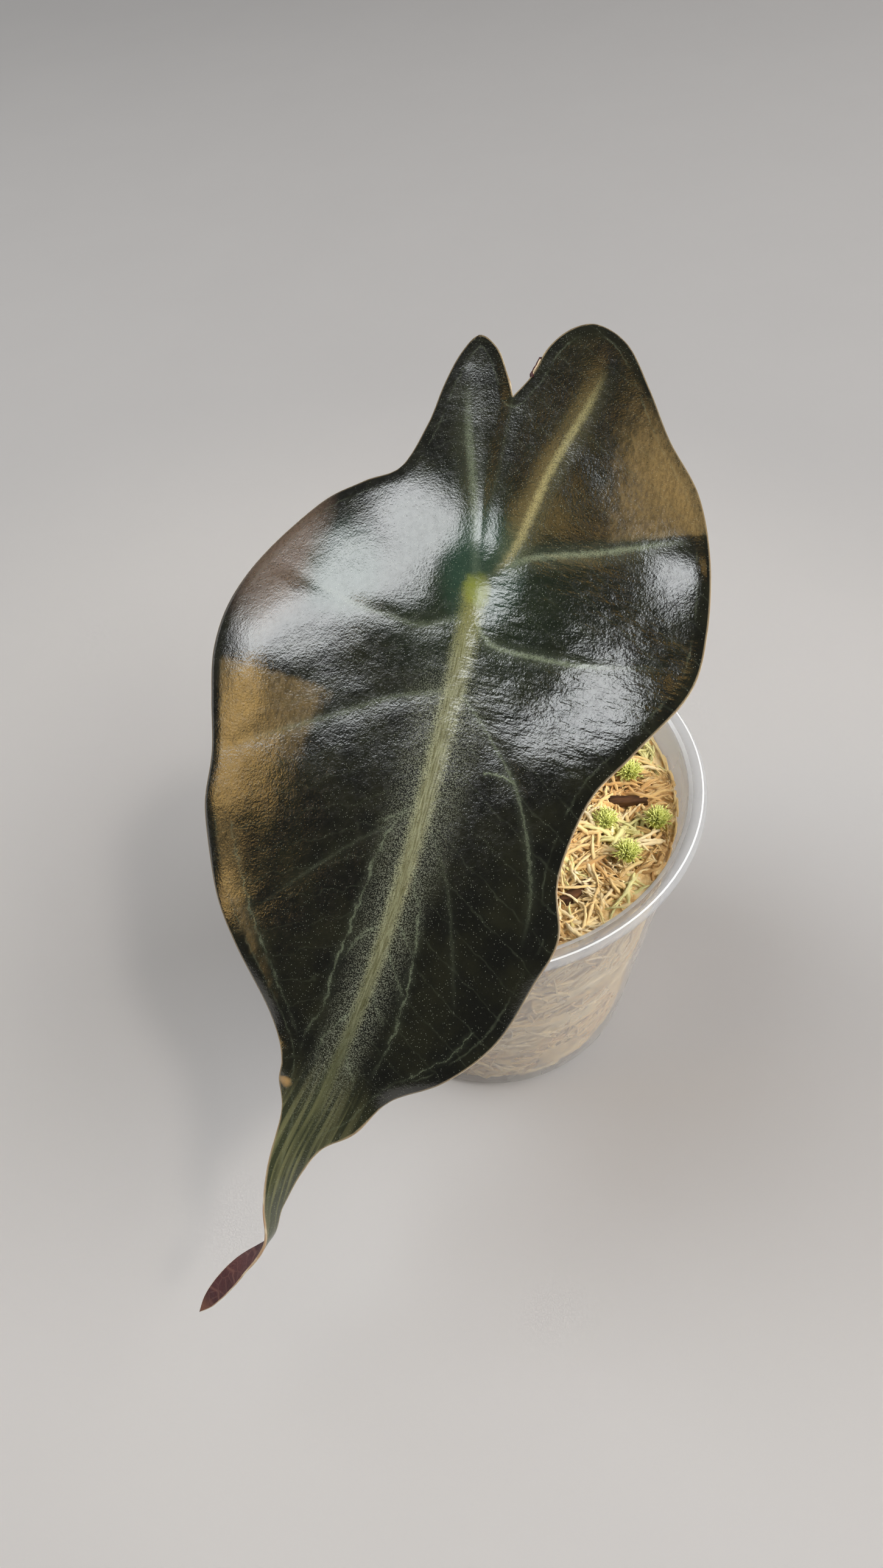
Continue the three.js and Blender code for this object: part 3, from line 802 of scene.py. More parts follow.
def zone(s, t, centre, size, soft):
    # a soft oval patch of the blade
    ds = calc("DIVIDE", minus(s, centre[0]), size[0])
    dt = calc("DIVIDE", minus(t, centre[1]), size[1])
    return fade(squares(ds, dt), 1 + soft, 1 - soft)


def leafTopMaterial():
    material, tree, shader = newMaterial("leafTop")
    uv, s, t = leafPlaces(tree)
    place = objectPlace(tree)
    wobble = waver(uv, 26, 2.2)
    fineWobble = waver(uv, 90, 0.9)
    wavyT = plus(t, wobble, fineWobble)
    wavyS = plus(s, times(wobble, 1.6))
    far = magnitude(t)
    margin = attributeOf(tree, "margin")
    speck = grain(place, 5000, 2, 0.6)
    streak = grain(uv, 100, 3, 0.6, (0.3, 3.6, 1))
    fromHeart = calc("SQRT", squares(s, t))

    base = mixColour(fade(grain(uv, 14, 4), 0.35, 0.7), leafTones["black"], leafTones["olive"])

    # painted copper reflection on the outer left flank, and on the right lobe above its side vein
    limit = most(minus(-16, times(s, 0.16)), minus(times(s, 0.8), 73.6))
    flank = fade(minus(wavyT, limit), 2, -4)
    inland = times(fade(s, 29, 44), fade(plus(margin, wobble), 4, 10, 0.25, 0.75))
    flank = times(flank, fade(s, 22, 24.5), minus(1, inland), fade(s, 86, 76), fade(margin, 0.8, 3))
    lobe = fade(plus(s, times(t, 0.36)), -4.5, -6.5)
    lobe = times(lobe, fade(wavyS, -56, -26), fade(wavyT, 12, 26))
    streaky = times(grain(uv, 48, 6, 0.72, (0.45, 1.2, 1)), 1.2)
    brushed = fade(grain(uv, 150, 5, 0.7, (0.5, 1.2, 1)), 0.34, 0.64, 0.5, 1)
    # the copper is a painted reflection, a warm sheen laid into the colour
    paintedCopper = times(fade(minus(most(flank, lobe), streaky), -0.3, 0.5), brushed, fade(speck, 0.3, 0.6, 0.7, 1))
    shoulder = zone(wavyS, wavyT, (0, -38), (16, 8), 0.95)
    # a painted rose sheen along the left shoulder, where the reflection fades towards the margin
    paintedRoseSheen = times(shoulder, fade(speck, 0.3, 0.62, 0.15, 0.6))
    # a painted teal shade on the left half near the joint
    shade = times(zone(wavyS, wavyT, (3, -24), (8, 7), 0.9), 0.45)

    # fine side veins, the branches beside the midrib and the main side veins
    patchy = fade(grain(uv, 30), 0.3, 0.65, 0.25, 1)
    dusty = fade(speck, 0.3, 0.62, 0.25, 1)
    sideVeins = times(feathers(wavyS, wavyT, 0.24), 0.08, patchy)
    branch = times(branchMask(tree, waver(uv, 40, 2.6, 4, 0.65)), dusty, patchy, 0.9)
    pale = most(*(veinMask(tree, i, fineWobble) for i in range(len(veins)) if i != tanVein))

    # the right lobe's tan vein, and the midrib with its powder
    joint = times(zone(s, t, (-3, 0.5), (9, 6.5), 0.8), 0.5)
    tan = times(veinMask(tree, tanVein, fineWobble), fade(fromHeart, 3, 9, 0.2, 1), dusty)
    ribAway = calc("DIVIDE", magnitude(plus(t, fineWobble)), fade(s, -2, 95, 2, 1.1))
    ribLong = times(fade(s, -2.5, 2), fade(s, 112, 84))
    ribPowder = plus(fade(streak, 0.3, 0.75, 0, 0.75), fade(ribAway, 0.3, 1.1, 0, 0.45))
    ribTone = mixColour(ribPowder, leafTones["ribDark"], leafTones["ribPale"])
    ribTone = painted(leafTones, ribTone, (fade(s, 17, 3, 0, 0.8), "ribTop"), (fade(s, 50, 100), "drip"))
    ribDust = fade(minus(speck, times(ribAway, 0.2)), 0.1, 0.45)
    fuzz = times(fade(ribAway, 5, 0.8, 0, 0.6), fade(speck, 0.46, 0.62), ribLong, fade(s, 8, 24))
    base = painted(
        leafTones,
        base,
        (fade(fromHeart, 26, 3, 0, 0.7), "green"),
        # the painted copper reflection
        (paintedCopper, "copperReflection"),
        # the painted rose sheen
        (paintedRoseSheen, "paintedRoseSheen"),
        # the painted teal shade
        (shade, "teal"),
        (most(sideVeins, branch), "sage"),
        (times(pale, dusty, 0.9), "sage"),
        (joint, "teal"),
        (tan, "tan"),
        (fuzz, "powder"),
    )
    base = mixColour(times(fade(ribAway, 1.7, 0.4), ribLong, ribDust), base, ribTone)

    # the pale heart where the stalk joins, and the drip tip with its pale stripes
    heart = times(zone(wavyS, wavyT, (0.8, 0.3), (2.5, 2), 0.98), fade(speck, 0.2, 0.6, 0.5, 1))
    base = mixColour(heart, base, leafTones["heart"])
    tipShare = times(fade(minus(s, times(far, 0.7)), 78, 100), 0.9)
    stripes = fade(grain(uv, 100, 2, 0.5, (0.04, 1.1, 1)), 0.42, 0.66)
    base = mixColour(tipShare, base, mixColour(stripes, leafTones["drip"], leafTones["stripe"]))

    # pale line inside the margin, the margin itself, the wart on it and tiny painted glints along the
    # midrib
    inner = fade(magnitude(minus(plus(margin, fineWobble), 2.2)), 0.3, 0)
    wart = times(zone(wavyS, wavyT, leafShape["wart"], (1.1, 1), 0.9), 0.7)
    dots = cells(place, 3000)
    chance = addNode(tree, "ShaderNodeSeparateColor", {0: dots["Color"]}).outputs[0]
    glint = calc("GREATER_THAN", chance, fade(far, 4, 22, 0.4, 0.72))
    base = painted(
        leafTones,
        base,
        (times(inner, fade(grain(uv, 22), 0.38, 0.62, 0, 0.16)), "sage"),
        (fade(margin, 0.32, 0.05, 0, 0.7), "margin"),
        (wart, "wart"),
        (times(fade(dots["Distance"], 0.28, 0.1), glint, 0.26), "glint"),
    )

    satin = fade(grain(place, 900), 0.3, 0.7, *leafShape["gloss"])
    roughness = plus(satin, times(heart, 0.2), times(shoulder, 0.1))
    feed(shader.inputs["Specular IOR Level"], 1)
    crumpled = times(grain(uv, 34, 3, 0.55, (1.6, 0.5, 1)), zone(s, t, (8, 18), (18, 22), 0.8), 5)
    small, broad = times(grain(place, 2400, 2, 0.6), 0.9), times(grain(place, 620, 3, 0.5), 0.9)
    coat(shader, base, roughness, plus(small, broad, crumpled), 0.055)
    return material


def leafUnderMaterial():
    material, tree, shader = newMaterial("leafUnder")
    uv, s, t = leafPlaces(tree)
    place = objectPlace(tree)
    wobble = waver(uv, 26, 2.2)
    base = mixColour(fade(grain(uv, 9, 4), 0.3, 0.7), leafTones["maroonDark"], leafTones["maroon"])
    sideVeins = times(feathers(plus(s, wobble), plus(t, wobble), 0.4), 0.5)
    net = times(fade(cells(uv, 42, "DISTANCE_TO_EDGE")["Distance"], 0.06, 0), 0.3)
    pale = most(*(veinMask(tree, i, 0) for i in range(len(veins))))
    base = painted(
        leafTones,
        base,
        (most(sideVeins, net), "underNet"),
        (pale, "underVein"),
        (times(fade(magnitude(t), 2, 0.8), fade(s, -3, 0), fade(s, 120, 90)), "underRib"),
        (fade(calc("SQRT", squares(s, t)), 7, 1.5), "underHeart"),
        (fade(s, 134, 138), "underTip"),
    )
    coat(shader, base, fade(grain(place, 900), 0.3, 0.7, 0.42, 0.58), grain(place, 1100, 4, 0.6), 0.16)
    return material


def leafRimMaterial():
    material, tree, shader = newMaterial("leafRim")
    shade = fade(grain(objectPlace(tree), 260), 0.35, 0.65)
    coat(shader, mixColour(shade, leafTones["rimDark"], leafTones["rimPale"]), 0.5)
    return material


# The clear cup: its sizes, and the colour and alpha of its wall, of its rim and of the painted highlight
# line there.
cupShape = {
    "height": 73,
    "rimRadius": 47.5,
    "baseRadius": 32.5,
    "rimWidth": 3.2,
    "rimDepth": 2.8,
    "wall": 0.6,
    "heel": 3,
    "recess": 0.8,
    "levels": (12, 30, 50, 66),
    "around": 128,
    "plastics": {
        # the wall's haze is a darker grey, partly the plastic's own and partly painted shade
        "cupWall": ((0.5, 0.485, 0.47), 0.38),
        "cupRim": ((0.5, 0.52, 0.55), 0.34),
        "cupRimLine": ((0.88, 0.91, 0.95), 0.7),
    },
}


def wallRadius(z):
    # the cup's outer radius at a height
    base, top = cupShape["baseRadius"], cupShape["height"] - cupShape["rimDepth"]
    return base + (cupShape["rimRadius"] - cupShape["rimWidth"] - base) * z / top


def arcPoints(centre, radius, start, end, steps):
    angles = [math.radians(start + (end - start) * i / steps) for i in range(steps + 1)]
    return [(centre[0] + radius * math.cos(a), centre[1] + radius * math.sin(a)) for a in angles]


def makeCup():
    height, wall, heel, recess = (cupShape[name] for name in ("height", "wall", "heel", "recess"))
    half = cupShape["rimDepth"] / 2
    rimCentre = (cupShape["rimRadius"] - half, height - half)
    innerTop = cupShape["rimRadius"] - cupShape["rimWidth"] - wall
    heelCentre = (wallRadius(heel) - heel, heel)
    # outside, from the middle of the base to the rim
    profile = [(0, recess), (heelCentre[0] - 4, recess), (heelCentre[0] - 3, 0)]
    profile += arcPoints(heelCentre, heel, -90, -8, 8)
    profile += [(wallRadius(z), z) for z in cupShape["levels"]]
    profile += [(wallRadius(height - 3.4), height - 3.4), (wallRadius(height - 2.9) + 0.7, height - 2.9)]
    profile += arcPoints(rimCentre, half, -80, 90, 12)
    # and back down inside
    steps = ((1.2, 0.05), (0.9, 0.35), (0.1, 0.5), (-0.1, 0.9), (-0.35, 4))
    profile += [(innerTop + outwardsBy, height - below) for outwardsBy, below in steps]
    profile += [(wallRadius(z) - wall, z) for z in reversed(cupShape["levels"])]
    profile += arcPoints(heelCentre, heel - wall, -8, -90, 6)
    profile += [(heelCentre[0] - 3.4, recess + wall), (0, recess + wall)]
    bm = spinProfile(profile, cupShape["around"])
    for face in bm.faces:
        centre = face.calc_center_median() / mm
        radius = math.hypot(centre.x, centre.y)
        isRim = centre.z > height - 3.2 and radius > innerTop + 0.3
        # the whiter, less clear bands on the rim's top and on its inner edge are a painted highlight
        onRimHighlight = centre.z > height - half and rimCentre[0] + 0.25 < radius < rimCentre[0] + 0.7
        onRimHighlight = onRimHighlight or centre.z > height - 0.6 and innerTop + 0.3 < radius < innerTop + 0.8
        face.material_index = 2 if onRimHighlight else 1 if isRim else 0
    materials = [plastic(name, *look) for name, look in cupShape["plastics"].items()]
    newPiece("clearCup", meshOf(bm, "cup"), "clear_plastic", "cup", *materials)


def plastic(name, tone, alpha):
    material, tree, shader = newMaterial(name)
    place = objectPlace(tree)
    feed(shader.inputs["Alpha"], alpha)
    feed(shader.inputs["Specular IOR Level"], 0.5)
    coat(shader, tone, fade(grain(place, 60, 4), 0.3, 0.7, 0.18, 0.32), grain(place, 90, 2), 0.1)
    return material


# The moss: its level and lumps as in the model, the big strands that arch out of it, the fine ones
# on top and the ones pressed against the inside of the wall.
mossShape = {
    "level": 65.5,
    "bottom": 1.7,
    "gap": 1.9,
    "heel": 3,
    "lumps": ((1.1, 30, 33, 6), (0.7, 13, 15, 2)),
    "bedHollow": (1.3, 4),
    "reach": 34,
    "bigSeed": 7,
    "bigStrands": 44,
    "bigLength": 13,
    "bigSpread": 5,
    "bigCurl": 4,
    "bigRise": 3.2,
    "bigSink": 1.3,
    "bigWidth": 0.75,
    "fineSeed": 21,
    "fineStrands": 2600,
    "fineLength": (5, 12),
    "fineWidth": (0.32, 0.66),
    "fineReach": 40.2,
    "fineEdge": 41.2,
    "fineWaver": 0.45,
    "leafyShare": 3,
    "combed": 0.4,
    "tuft": 7,
    "tuftRise": 1.5,
    "aroundStalk": 5.2,
    "pressedSeed": 33,
    "pressedStrands": 2400,
    "pressedHalf": (3.5, 8),
    "pressedWidth": (0.3, 0.55),
    "pressedDepth": (1.35, 2.1),
    "pressedFrom": 2.6,
    "pressedTo": 65.6,
    "clump": 8,
    "clumpSpread": 0.2,
    "brown": (0.61, 0.36, 0.14),
    "tan": (0.83, 0.58, 0.26),
    "straw": (0.92, 0.72, 0.37),
    "cream": (0.95, 0.81, 0.54),
    "olive": (0.8, 0.76, 0.36),
    "deep": (0.7, 0.46, 0.22),
}
pocketShape = {"radius": 9.2, "bottom": 34, "shoulder": 51, "neckRadius": 4.7, "neck": 55.5, "above": 75}


def mossTop(x, y):
    # the level with broad lumps, and finer ones across them
    whole = 2 * np.pi
    (broad, sizeX, sizeY, start), (fine, fineX, fineY, fineStart) = mossShape["lumps"]
    height = mossShape["level"] + broad * np.sin(whole * (x + start) / sizeX) * np.sin(whole * y / sizeY)
    return height + fine * np.sin(whole * (x - y + fineStart) / fineX) * np.sin(whole * (x + y) / fineY)


def tuftRise(x, y):
    return mossShape["tuftRise"] * noise.noise(Vector((x / mossShape["tuft"], y / mossShape["tuft"], 3)))


def scalySeed(rings, sides):
    # a tapered branch of overlapping scales, from 0 to 1 along x
    bm = bmesh.new()
    shares = [i / rings for i in range(rings + 1)]
    radii = []
    for i, u in enumerate(shares):
        taper = math.sin(math.pi * min(1, 0.22 + 0.78 * u)) ** 0.6
        radii.append(max(0.06, (1 if i % 2 else 0.7) * taper))
    growTube(bm, [(u, 0, 0) for u in shares], radii, sides)
    outwards(bm)
    return meshOf(bm, "scalySeed")


def leafySeed(leaves):
    # a thin stem with small pointed leaves in a spiral, from 0 to 1 along x
    bm = bmesh.new()
    growTube(bm, [(i / 4, 0, 0) for i in range(5)], [0.5, 0.55, 0.5, 0.4, 0.1], 3)
    lean = Matrix.Diagonal((0.06, 1, 1, 1)) @ Matrix.Rotation(-1.1, 4, "Z")
    lying = Matrix.Rotation(-math.pi / 2, 4, "X")
    shape = lying @ Matrix.Translation((0, 0, 1.2)) @ Matrix.Diagonal((1, 0.4, 1, 1))
    for i in range(leaves):
        spiral = Matrix.Rotation(2.4 * i, 4, "X") @ Matrix.Translation((0.04 + 0.82 * i / leaves, 0.3, 0))
        bmesh.ops.create_cone(
            bm, cap_ends=True, segments=3, radius1=0.8, radius2=0, depth=2.6, matrix=spiral @ lean @ shape
        )
    outwards(bm)
    return meshOf(bm, "leafySeed")


def bendCopies(name, seed, lines, widths, tones):
    # one copy of the seed along each line of points, all in one mesh
    lines = np.array(lines)
    count, steps = lines.shape[:2]
    flat = pointsOf(seed)
    bm = bmesh.new()
    for _ in range(count):
        bm.from_mesh(seed)
    mesh = meshOf(bm, name)
    spot = np.clip(flat[:, 0], 0, 0.9999) * (steps - 1)
    low = spot.astype(int)
    part = (spot - low)[None, :, None]
    centre = lines[:, low] * (1 - part) + lines[:, low + 1] * part
    run = unit(np.gradient(lines, axis=1))
    run = unit(run[:, low] * (1 - part) + run[:, low + 1] * part)
    random.seed(len(lines))
    lead = unit(np.array([[random.gauss(0, 1) for _ in range(3)] for _ in range(count)]))[:, None, :]
    side = unit(np.cross(run, lead))
    out = np.cross(run, side)
    width = np.array(widths)[:, None, None]
    beyond = np.maximum(flat[:, 0] - 1, 0) + np.minimum(flat[:, 0], 0)
    length = np.linalg.norm(np.diff(lines, axis=1), axis=2).sum(axis=1)[:, None, None]
    places = centre + side * flat[:, 1, None] * width + out * flat[:, 2, None] * width
    places += run * beyond[None, :, None] * length
    setPoints(mesh, places.reshape(-1, 3) * mm)
    setAttribute(mesh, "tone", np.repeat(tones, len(flat)))
    setAttribute(mesh, "alongStrand", np.tile(flat[:, 0], count))
    return mesh


def joinMeshes(name, meshes):
    bm = bmesh.new()
    for mesh in meshes:
        bm.from_mesh(mesh)
    return meshOf(bm, name)


def drawFrom(state):
    # the model's own repeatable draw from 0 to 1
    while True:
        state = (state * 1664525 + 1013904223) % 2**32
        yield state / 2**32


def bezier(start, bend, end, steps=9):
    u = np.linspace(0, 1, steps)[:, None]
    return (1 - u) ** 2 * start + 2 * u * (1 - u) * bend + u**2 * end


def bigStrandLines():
    draw = drawFrom(mossShape["bigSeed"])
    lines = []
    for _ in range(mossShape["bigStrands"]):
        angle, radius = next(draw) * 2 * math.pi, mossShape["reach"] * math.sqrt(next(draw))
        turn = next(draw) * 2 * math.pi
        half = (mossShape["bigLength"] + mossShape["bigSpread"] * (next(draw) - 0.5)) / 2
        centre = np.array([radius * math.cos(angle), radius * math.sin(angle), 0])
        way = np.array([math.cos(turn), math.sin(turn), 0])
        curl = np.array([-way[1], way[0], 0]) * mossShape["bigCurl"] * (next(draw) - 0.5)
        spots = [centre - half * way, centre + curl, centre + half * way]
        for spot, lift in zip(spots, (-mossShape["bigSink"], mossShape["bigRise"], -mossShape["bigSink"])):
            spot[2] = mossTop(spot[0], spot[1]) + lift
        lines.append(bezier(*spots))
    return lines


def clumpTone(lines, seed):
    # strands of one clump share their tone
    random.seed(seed)
    spread = mossShape["clumpSpread"]
    clump = noiseAt([line[4] for line in lines], mossShape["clump"], 4) * 1.5 + 0.5
    return np.clip(clump + np.array([random.uniform(-spread, spread) for _ in lines]), 0, 1)


def fineStrandLines():
    random.seed(mossShape["fineSeed"])
    noise.seed_set(mossShape["fineSeed"])
    footX, footY, _ = stalkShape["foot"]
    lines = []
    while len(lines) < mossShape["fineStrands"]:
        angle, radius = random.uniform(0, 2 * math.pi), mossShape["fineReach"] * math.sqrt(random.random())
        x, y = radius * math.cos(angle), radius * math.sin(angle)
        if math.hypot(x - footX, y - footY) < mossShape["aroundStalk"]:
            continue
        lead = 2.6 * math.pi * noise.noise(Vector((x / 9, y / 9, 8))) + random.gauss(0, mossShape["combed"])
        half = random.uniform(*mossShape["fineLength"]) / 2
        curl = random.gauss(0, 0.35) * half
        rise = random.uniform(-0.3, 1.5)
        foot, tip = -random.uniform(0.3, 1.6), -random.uniform(-0.8, 1.5)
        spots = []
        for far, aside, lift in ((-half, 0, foot), (0, curl, 2 * rise), (half, 0, tip)):
            px = x + far * math.cos(lead) - aside * math.sin(lead)
            py = y + far * math.sin(lead) + aside * math.cos(lead)
            inwards = min(1, mossShape["fineEdge"] / math.hypot(px, py))
            px, py = px * inwards, py * inwards
            spots.append(np.array([px, py, mossTop(px, py) + tuftRise(px, py) + lift]))
        line = bezier(*spots)
        shift = Vector((0, 0, len(lines)))
        wobble = np.array([noise.noise_vector(Vector(point) / 2.2 + shift) for point in line])
        lines.append(line + mossShape["fineWaver"] * wobble)
    return lines


def pressedStrandLines():
    random.seed(mossShape["pressedSeed"])
    lines = []
    for _ in range(mossShape["pressedStrands"]):
        angle, z = random.uniform(0, 2 * math.pi), 2.5 + 62.5 * random.random()
        lead = random.gauss(0, 0.8) + (math.pi if random.random() < 0.5 else 0)
        half = random.uniform(*mossShape["pressedHalf"])
        curl = random.gauss(0, 0.3) * half
        depth = random.uniform(*mossShape["pressedDepth"])
        line = []
        for u in np.linspace(-1, 1, 9):
            aside = curl * (1 - u * u)
            height = z + u * half * math.sin(lead) + aside * math.cos(lead)
            height = min(max(height, mossShape["pressedFrom"]), mossShape["pressedTo"])
            radius = wallRadius(height) - depth
            turn = angle + (u * half * math.cos(lead) - aside * math.sin(lead)) / radius
            line.append([radius * math.cos(turn), radius * math.sin(turn), height])
        lines.append(line)
    return lines


def makeMossStrands():
    big, fine, pressed = bigStrandLines(), fineStrandLines(), pressedStrandLines()
    scaly, leafy = scalySeed(12, 4), leafySeed(8)
    material = mossMaterial()
    widths = [random.uniform(*mossShape["fineWidth"]) for _ in fine]
    tones = clumpTone(fine, 1)
    cut = len(fine) // mossShape["leafyShare"]
    parts = [
        bendCopies("big", scaly, big, [mossShape["bigWidth"]] * len(big), clumpTone(big, 2)),
        bendCopies("leafy", leafy, fine[:cut], widths[:cut], tones[:cut]),
    ]
    newPiece("mossStrands", joinMeshes("mossStrands", parts), "tan_moss", "moss", material)
    mesh = bendCopies("mossFibres", scaly, fine[cut:], widths[cut:], tones[cut:])
    newPiece("mossFibres", mesh, "tan_moss", "moss", material)
    widths = [random.uniform(*mossShape["pressedWidth"]) for _ in pressed]
    # the pressed strands keep to the lower, browner tones, partly their own colour and partly painted shade
    tones = 0.05 + 0.4 * clumpTone(pressed, 3)
    mesh = bendCopies("mossPressed", scalySeed(8, 4), pressed, widths, tones)
    newPiece("mossPressed", mesh, "tan_moss", "moss", material)


def makeMossBed():
    gap, heel, level, bottom = (mossShape[name] for name in ("gap", "heel", "level", "bottom"))
    top = wallRadius(level) - gap
    profile = [(0, bottom), (wallRadius(bottom) - gap - heel, bottom)]
    profile += [(wallRadius(z) - gap, z) for z in np.linspace(bottom + heel, level - 1.5, 26)]
    profile += [(top * (1 - i / 44), level) for i in range(45)]
    mesh = meshOf(spinProfile(profile, 120), "mossBed")
    places = pointsOf(mesh) / mm
    onTop = places[:, 2] > level - 0.1
    rough = noiseAt(places, 2.4)
    broad = noiseAt(places, 6, 9)
    x, y = places[:, 0], places[:, 1]
    tufts = np.array([tuftRise(px, py) for px, py in zip(x, y)])
    depth, radius = mossShape["bedHollow"]
    sunk = sum(depth * bell(np.hypot(x - hx, y - hy), radius) for hx, hy in headShape["places"])
    calm = smoothStep((top - np.hypot(x, y)) / 2)
    raised = level + (mossTop(x, y) - level - sunk + 0.5 * rough + tufts) * calm - 0.4
    places[:, 2] = np.where(onTop, raised, places[:, 2])
    inwards = np.where(onTop | (places[:, 2] < bottom + heel), 0, 0.35 * rough + 0.5 * broad - 1.1)
    places[:, :2] *= (1 + inwards / np.maximum(np.hypot(x, y), 1))[:, None]
    setPoints(mesh, places * mm)

    # the hollow for the corm, with a neck for the stalk, is cut out of the bed
    fx, fy, _ = stalkShape["foot"]
    wide, narrow, above = pocketShape["radius"], pocketShape["neckRadius"], pocketShape["above"]
    hollow = [(0, pocketShape["bottom"]), (wide, pocketShape["bottom"]), (wide, pocketShape["shoulder"])]
    hollow += [(narrow, pocketShape["neck"]), (narrow, above), (0, above)]
    bm = spinProfile(hollow, 40)
    bmesh.ops.translate(bm, verts=bm.verts, vec=(fx * mm, fy * mm, 0))
    cutter = bpy.data.objects.new("pocket", meshOf(bm, "pocket"))
    bed = bpy.data.objects.new("uncutBed", mesh)
    for made in (cutter, bed):
        scene.collection.objects.link(made)
    carve = bed.modifiers.new("pocket", "BOOLEAN")
    carve.object = cutter
    carve.operation = "DIFFERENCE"
    carved = bpy.data.meshes.new_from_object(bed.evaluated_get(bpy.context.evaluated_depsgraph_get()))
    for made in (cutter, bed):
        bpy.data.objects.remove(made)
    newPiece("mossBed", carved, "tan_moss", "moss", mossBedMaterial())


def mossTones(tone):
    ramp = addNode(tone.id_data, "ShaderNodeValToRGB", {0: tone})
    stops = ramp.color_ramp.elements
    stops[0].position, stops[0].color = 0.02, (*mossShape["brown"], 1)
    stops[1].position, stops[1].color = 1, (*mossShape["olive"], 1)
    for position, name in ((0.2, "tan"), (0.4, "straw"), (0.55, "cream"), (0.7, "straw"), (0.85, "tan")):
        stops.new(position).color = (*mossShape[name], 1)
    return ramp.outputs[0]


def mossMaterial():
    material, tree, shader = newMaterial("mossTan")
    place = objectPlace(tree)
    tone = plus(attributeOf(tree, "tone"), waver(place, 420, 0.25, 3))
    base = mossTones(plus(tone, times(attributeOf(tree, "alongStrand"), 0.12)))
    feed(shader.inputs["Specular IOR Level"], 0.3)
    feed(shader.inputs["Sheen Weight"], 0.5)
    feed(shader.inputs["Sheen Roughness"], 0.5)
    feed(shader.inputs["Sheen Tint"], (1, 0.86, 0.6))
    coat(shader, base, 0.75, grain(place, 2200), 0.1)
    return material


def mossBedMaterial():
    material, tree, shader = newMaterial("mossDeep")
    place = objectPlace(tree)
    tone = fade(grain(place, 190, 4, 0.65), 0.32, 0.72)
    coat(shader, mixColour(0.2, mossTones(tone), mossShape["deep"]), 0.85, grain(place, 800, 4, 0.7), 0.5)
    return material


# The live green heads: each is a ball of small leafy fronds, partly sunk in the moss.
headShape = {
    "radius": 4,
    "core": 2.1,
    "sunk": 1.6,
    "fronds": 64,
    "seed": 44,
    "frondTurn": 2.39996,
    "frondWidth": (0.3, 0.42),
    "places": ((25.5, -10.5), (33, 1.5), (36, -12), (28, -20), (-16, 22), (-24, -16)),
    "deep": (0.5, 0.56, 0.09),
    "bright": (0.87, 0.91, 0.33),
}


def makeHeads():
    random.seed(headShape["seed"])
    seed = leafySeed(8)
    material = headMaterial()
    radius, core = headShape["radius"], headShape["core"]
    for number, (x, y) in enumerate(headShape["places"], start=1):
        centre = np.array([x, y, mossTop(x, y) + radius - headShape["sunk"]])
        heart = centre + np.array([0, 0, core - radius])
        lines, widths, tones = [], [], []
        for i in range(headShape["fronds"]):
            share = (i + 0.5) / headShape["fronds"]
            polar = 0.12 + 1.75 * share**0.62
            turn = headShape["frondTurn"] * i + random.uniform(-0.2, 0.2)
            aside = math.sin(polar)
            way = np.array([aside * math.cos(turn), aside * math.sin(turn), math.cos(polar)])
            reach = radius * random.uniform(0.66, 0.98) * (0.72 + 0.28 * share)
            end = centre + way * reach
            bend = (heart + end) / 2 + np.array([0, 0, 0.8 * share + 0.3])
            lines.append(bezier(heart + way * 0.4, bend, end, 7))
            widths.append(random.uniform(*headShape["frondWidth"]))
            tones.append(1 - 0.75 * share + random.uniform(-0.15, 0.15))
        fronds = bendCopies("fronds", seed, lines, widths, tones)
        bm = bmesh.new()
        place = Matrix.Translation(Vector(heart) * mm)
        bmesh.ops.create_icosphere(bm, subdivisions=2, radius=0.75 * core * mm, matrix=place)
        bm.from_mesh(fronds)
        name = f"mossHead{number}"
        newPiece(name, meshOf(bm, name), "green_moss", f"moss_head_{number}", material)


def headMaterial():
    material, tree, shader = newMaterial("mossGreen")
    place = objectPlace(tree)
    share = plus(times(attributeOf(tree, "alongStrand"), 0.65), times(attributeOf(tree, "tone"), 0.4))
    share = plus(share, waver(place, 500, 0.5, 3))
    base = mixColour(fade(share, 0.05, 0.85), headShape["deep"], headShape["bright"])
    coat(shader, base, 0.6, grain(place, 2400, 2), 0.08)
    return material


# The chips of bark: x, y and turn of each.
barkShape = {
    "size": (8.5, 2.6, 1.8),
    "bevel": 0.35,
    "taper": 0.35,
    "lift": 0.2,
    "places": ((31.5, -4.8, -8), (17, -25.5, 35)),
    "dark": (0.022, 0.01, 0.005),
    "light": (0.12, 0.055, 0.025),
}


def makeBark():
    material = barkMaterial()
    for number, (x, y, turn) in enumerate(barkShape["places"], start=1):
        bm = bmesh.new()
        bmesh.ops.create_cube(bm, size=1)
        bmesh.ops.scale(bm, verts=bm.verts, vec=barkShape["size"])
        bmesh.ops.bevel(
            bm, geom=bm.edges[:], offset=barkShape["bevel"], offset_type="OFFSET", segments=2, profile=0.5,
            affect="EDGES", material=-1
        )
        bmesh.ops.subdivide_edges(bm, edges=bm.edges[:], cuts=5, use_grid_fill=True)
        for vert in bm.verts:
            spot = Vector((vert.co.x / 3, vert.co.y / 0.7, vert.co.z / 0.7 + number))
            vert.co *= 0.94 + 0.12 * noise.noise(spot)
            taper = 1 - barkShape["taper"] * (vert.co.x / barkShape["size"][0] + 0.5)
            vert.co.y *= taper
            vert.co.z *= 0.6 + 0.4 * taper
        turned = Matrix.Rotation(math.radians(turn), 4, "Z")
        place = Matrix.Translation((x, y, mossTop(x, y) + barkShape["lift"]))
        bmesh.ops.transform(bm, matrix=Matrix.Scale(mm, 4) @ place @ turned, verts=bm.verts)
        outwards(bm)
        name = f"barkChip{number}"
        newPiece(name, meshOf(bm, name), "bark", f"bark_{number}", material)


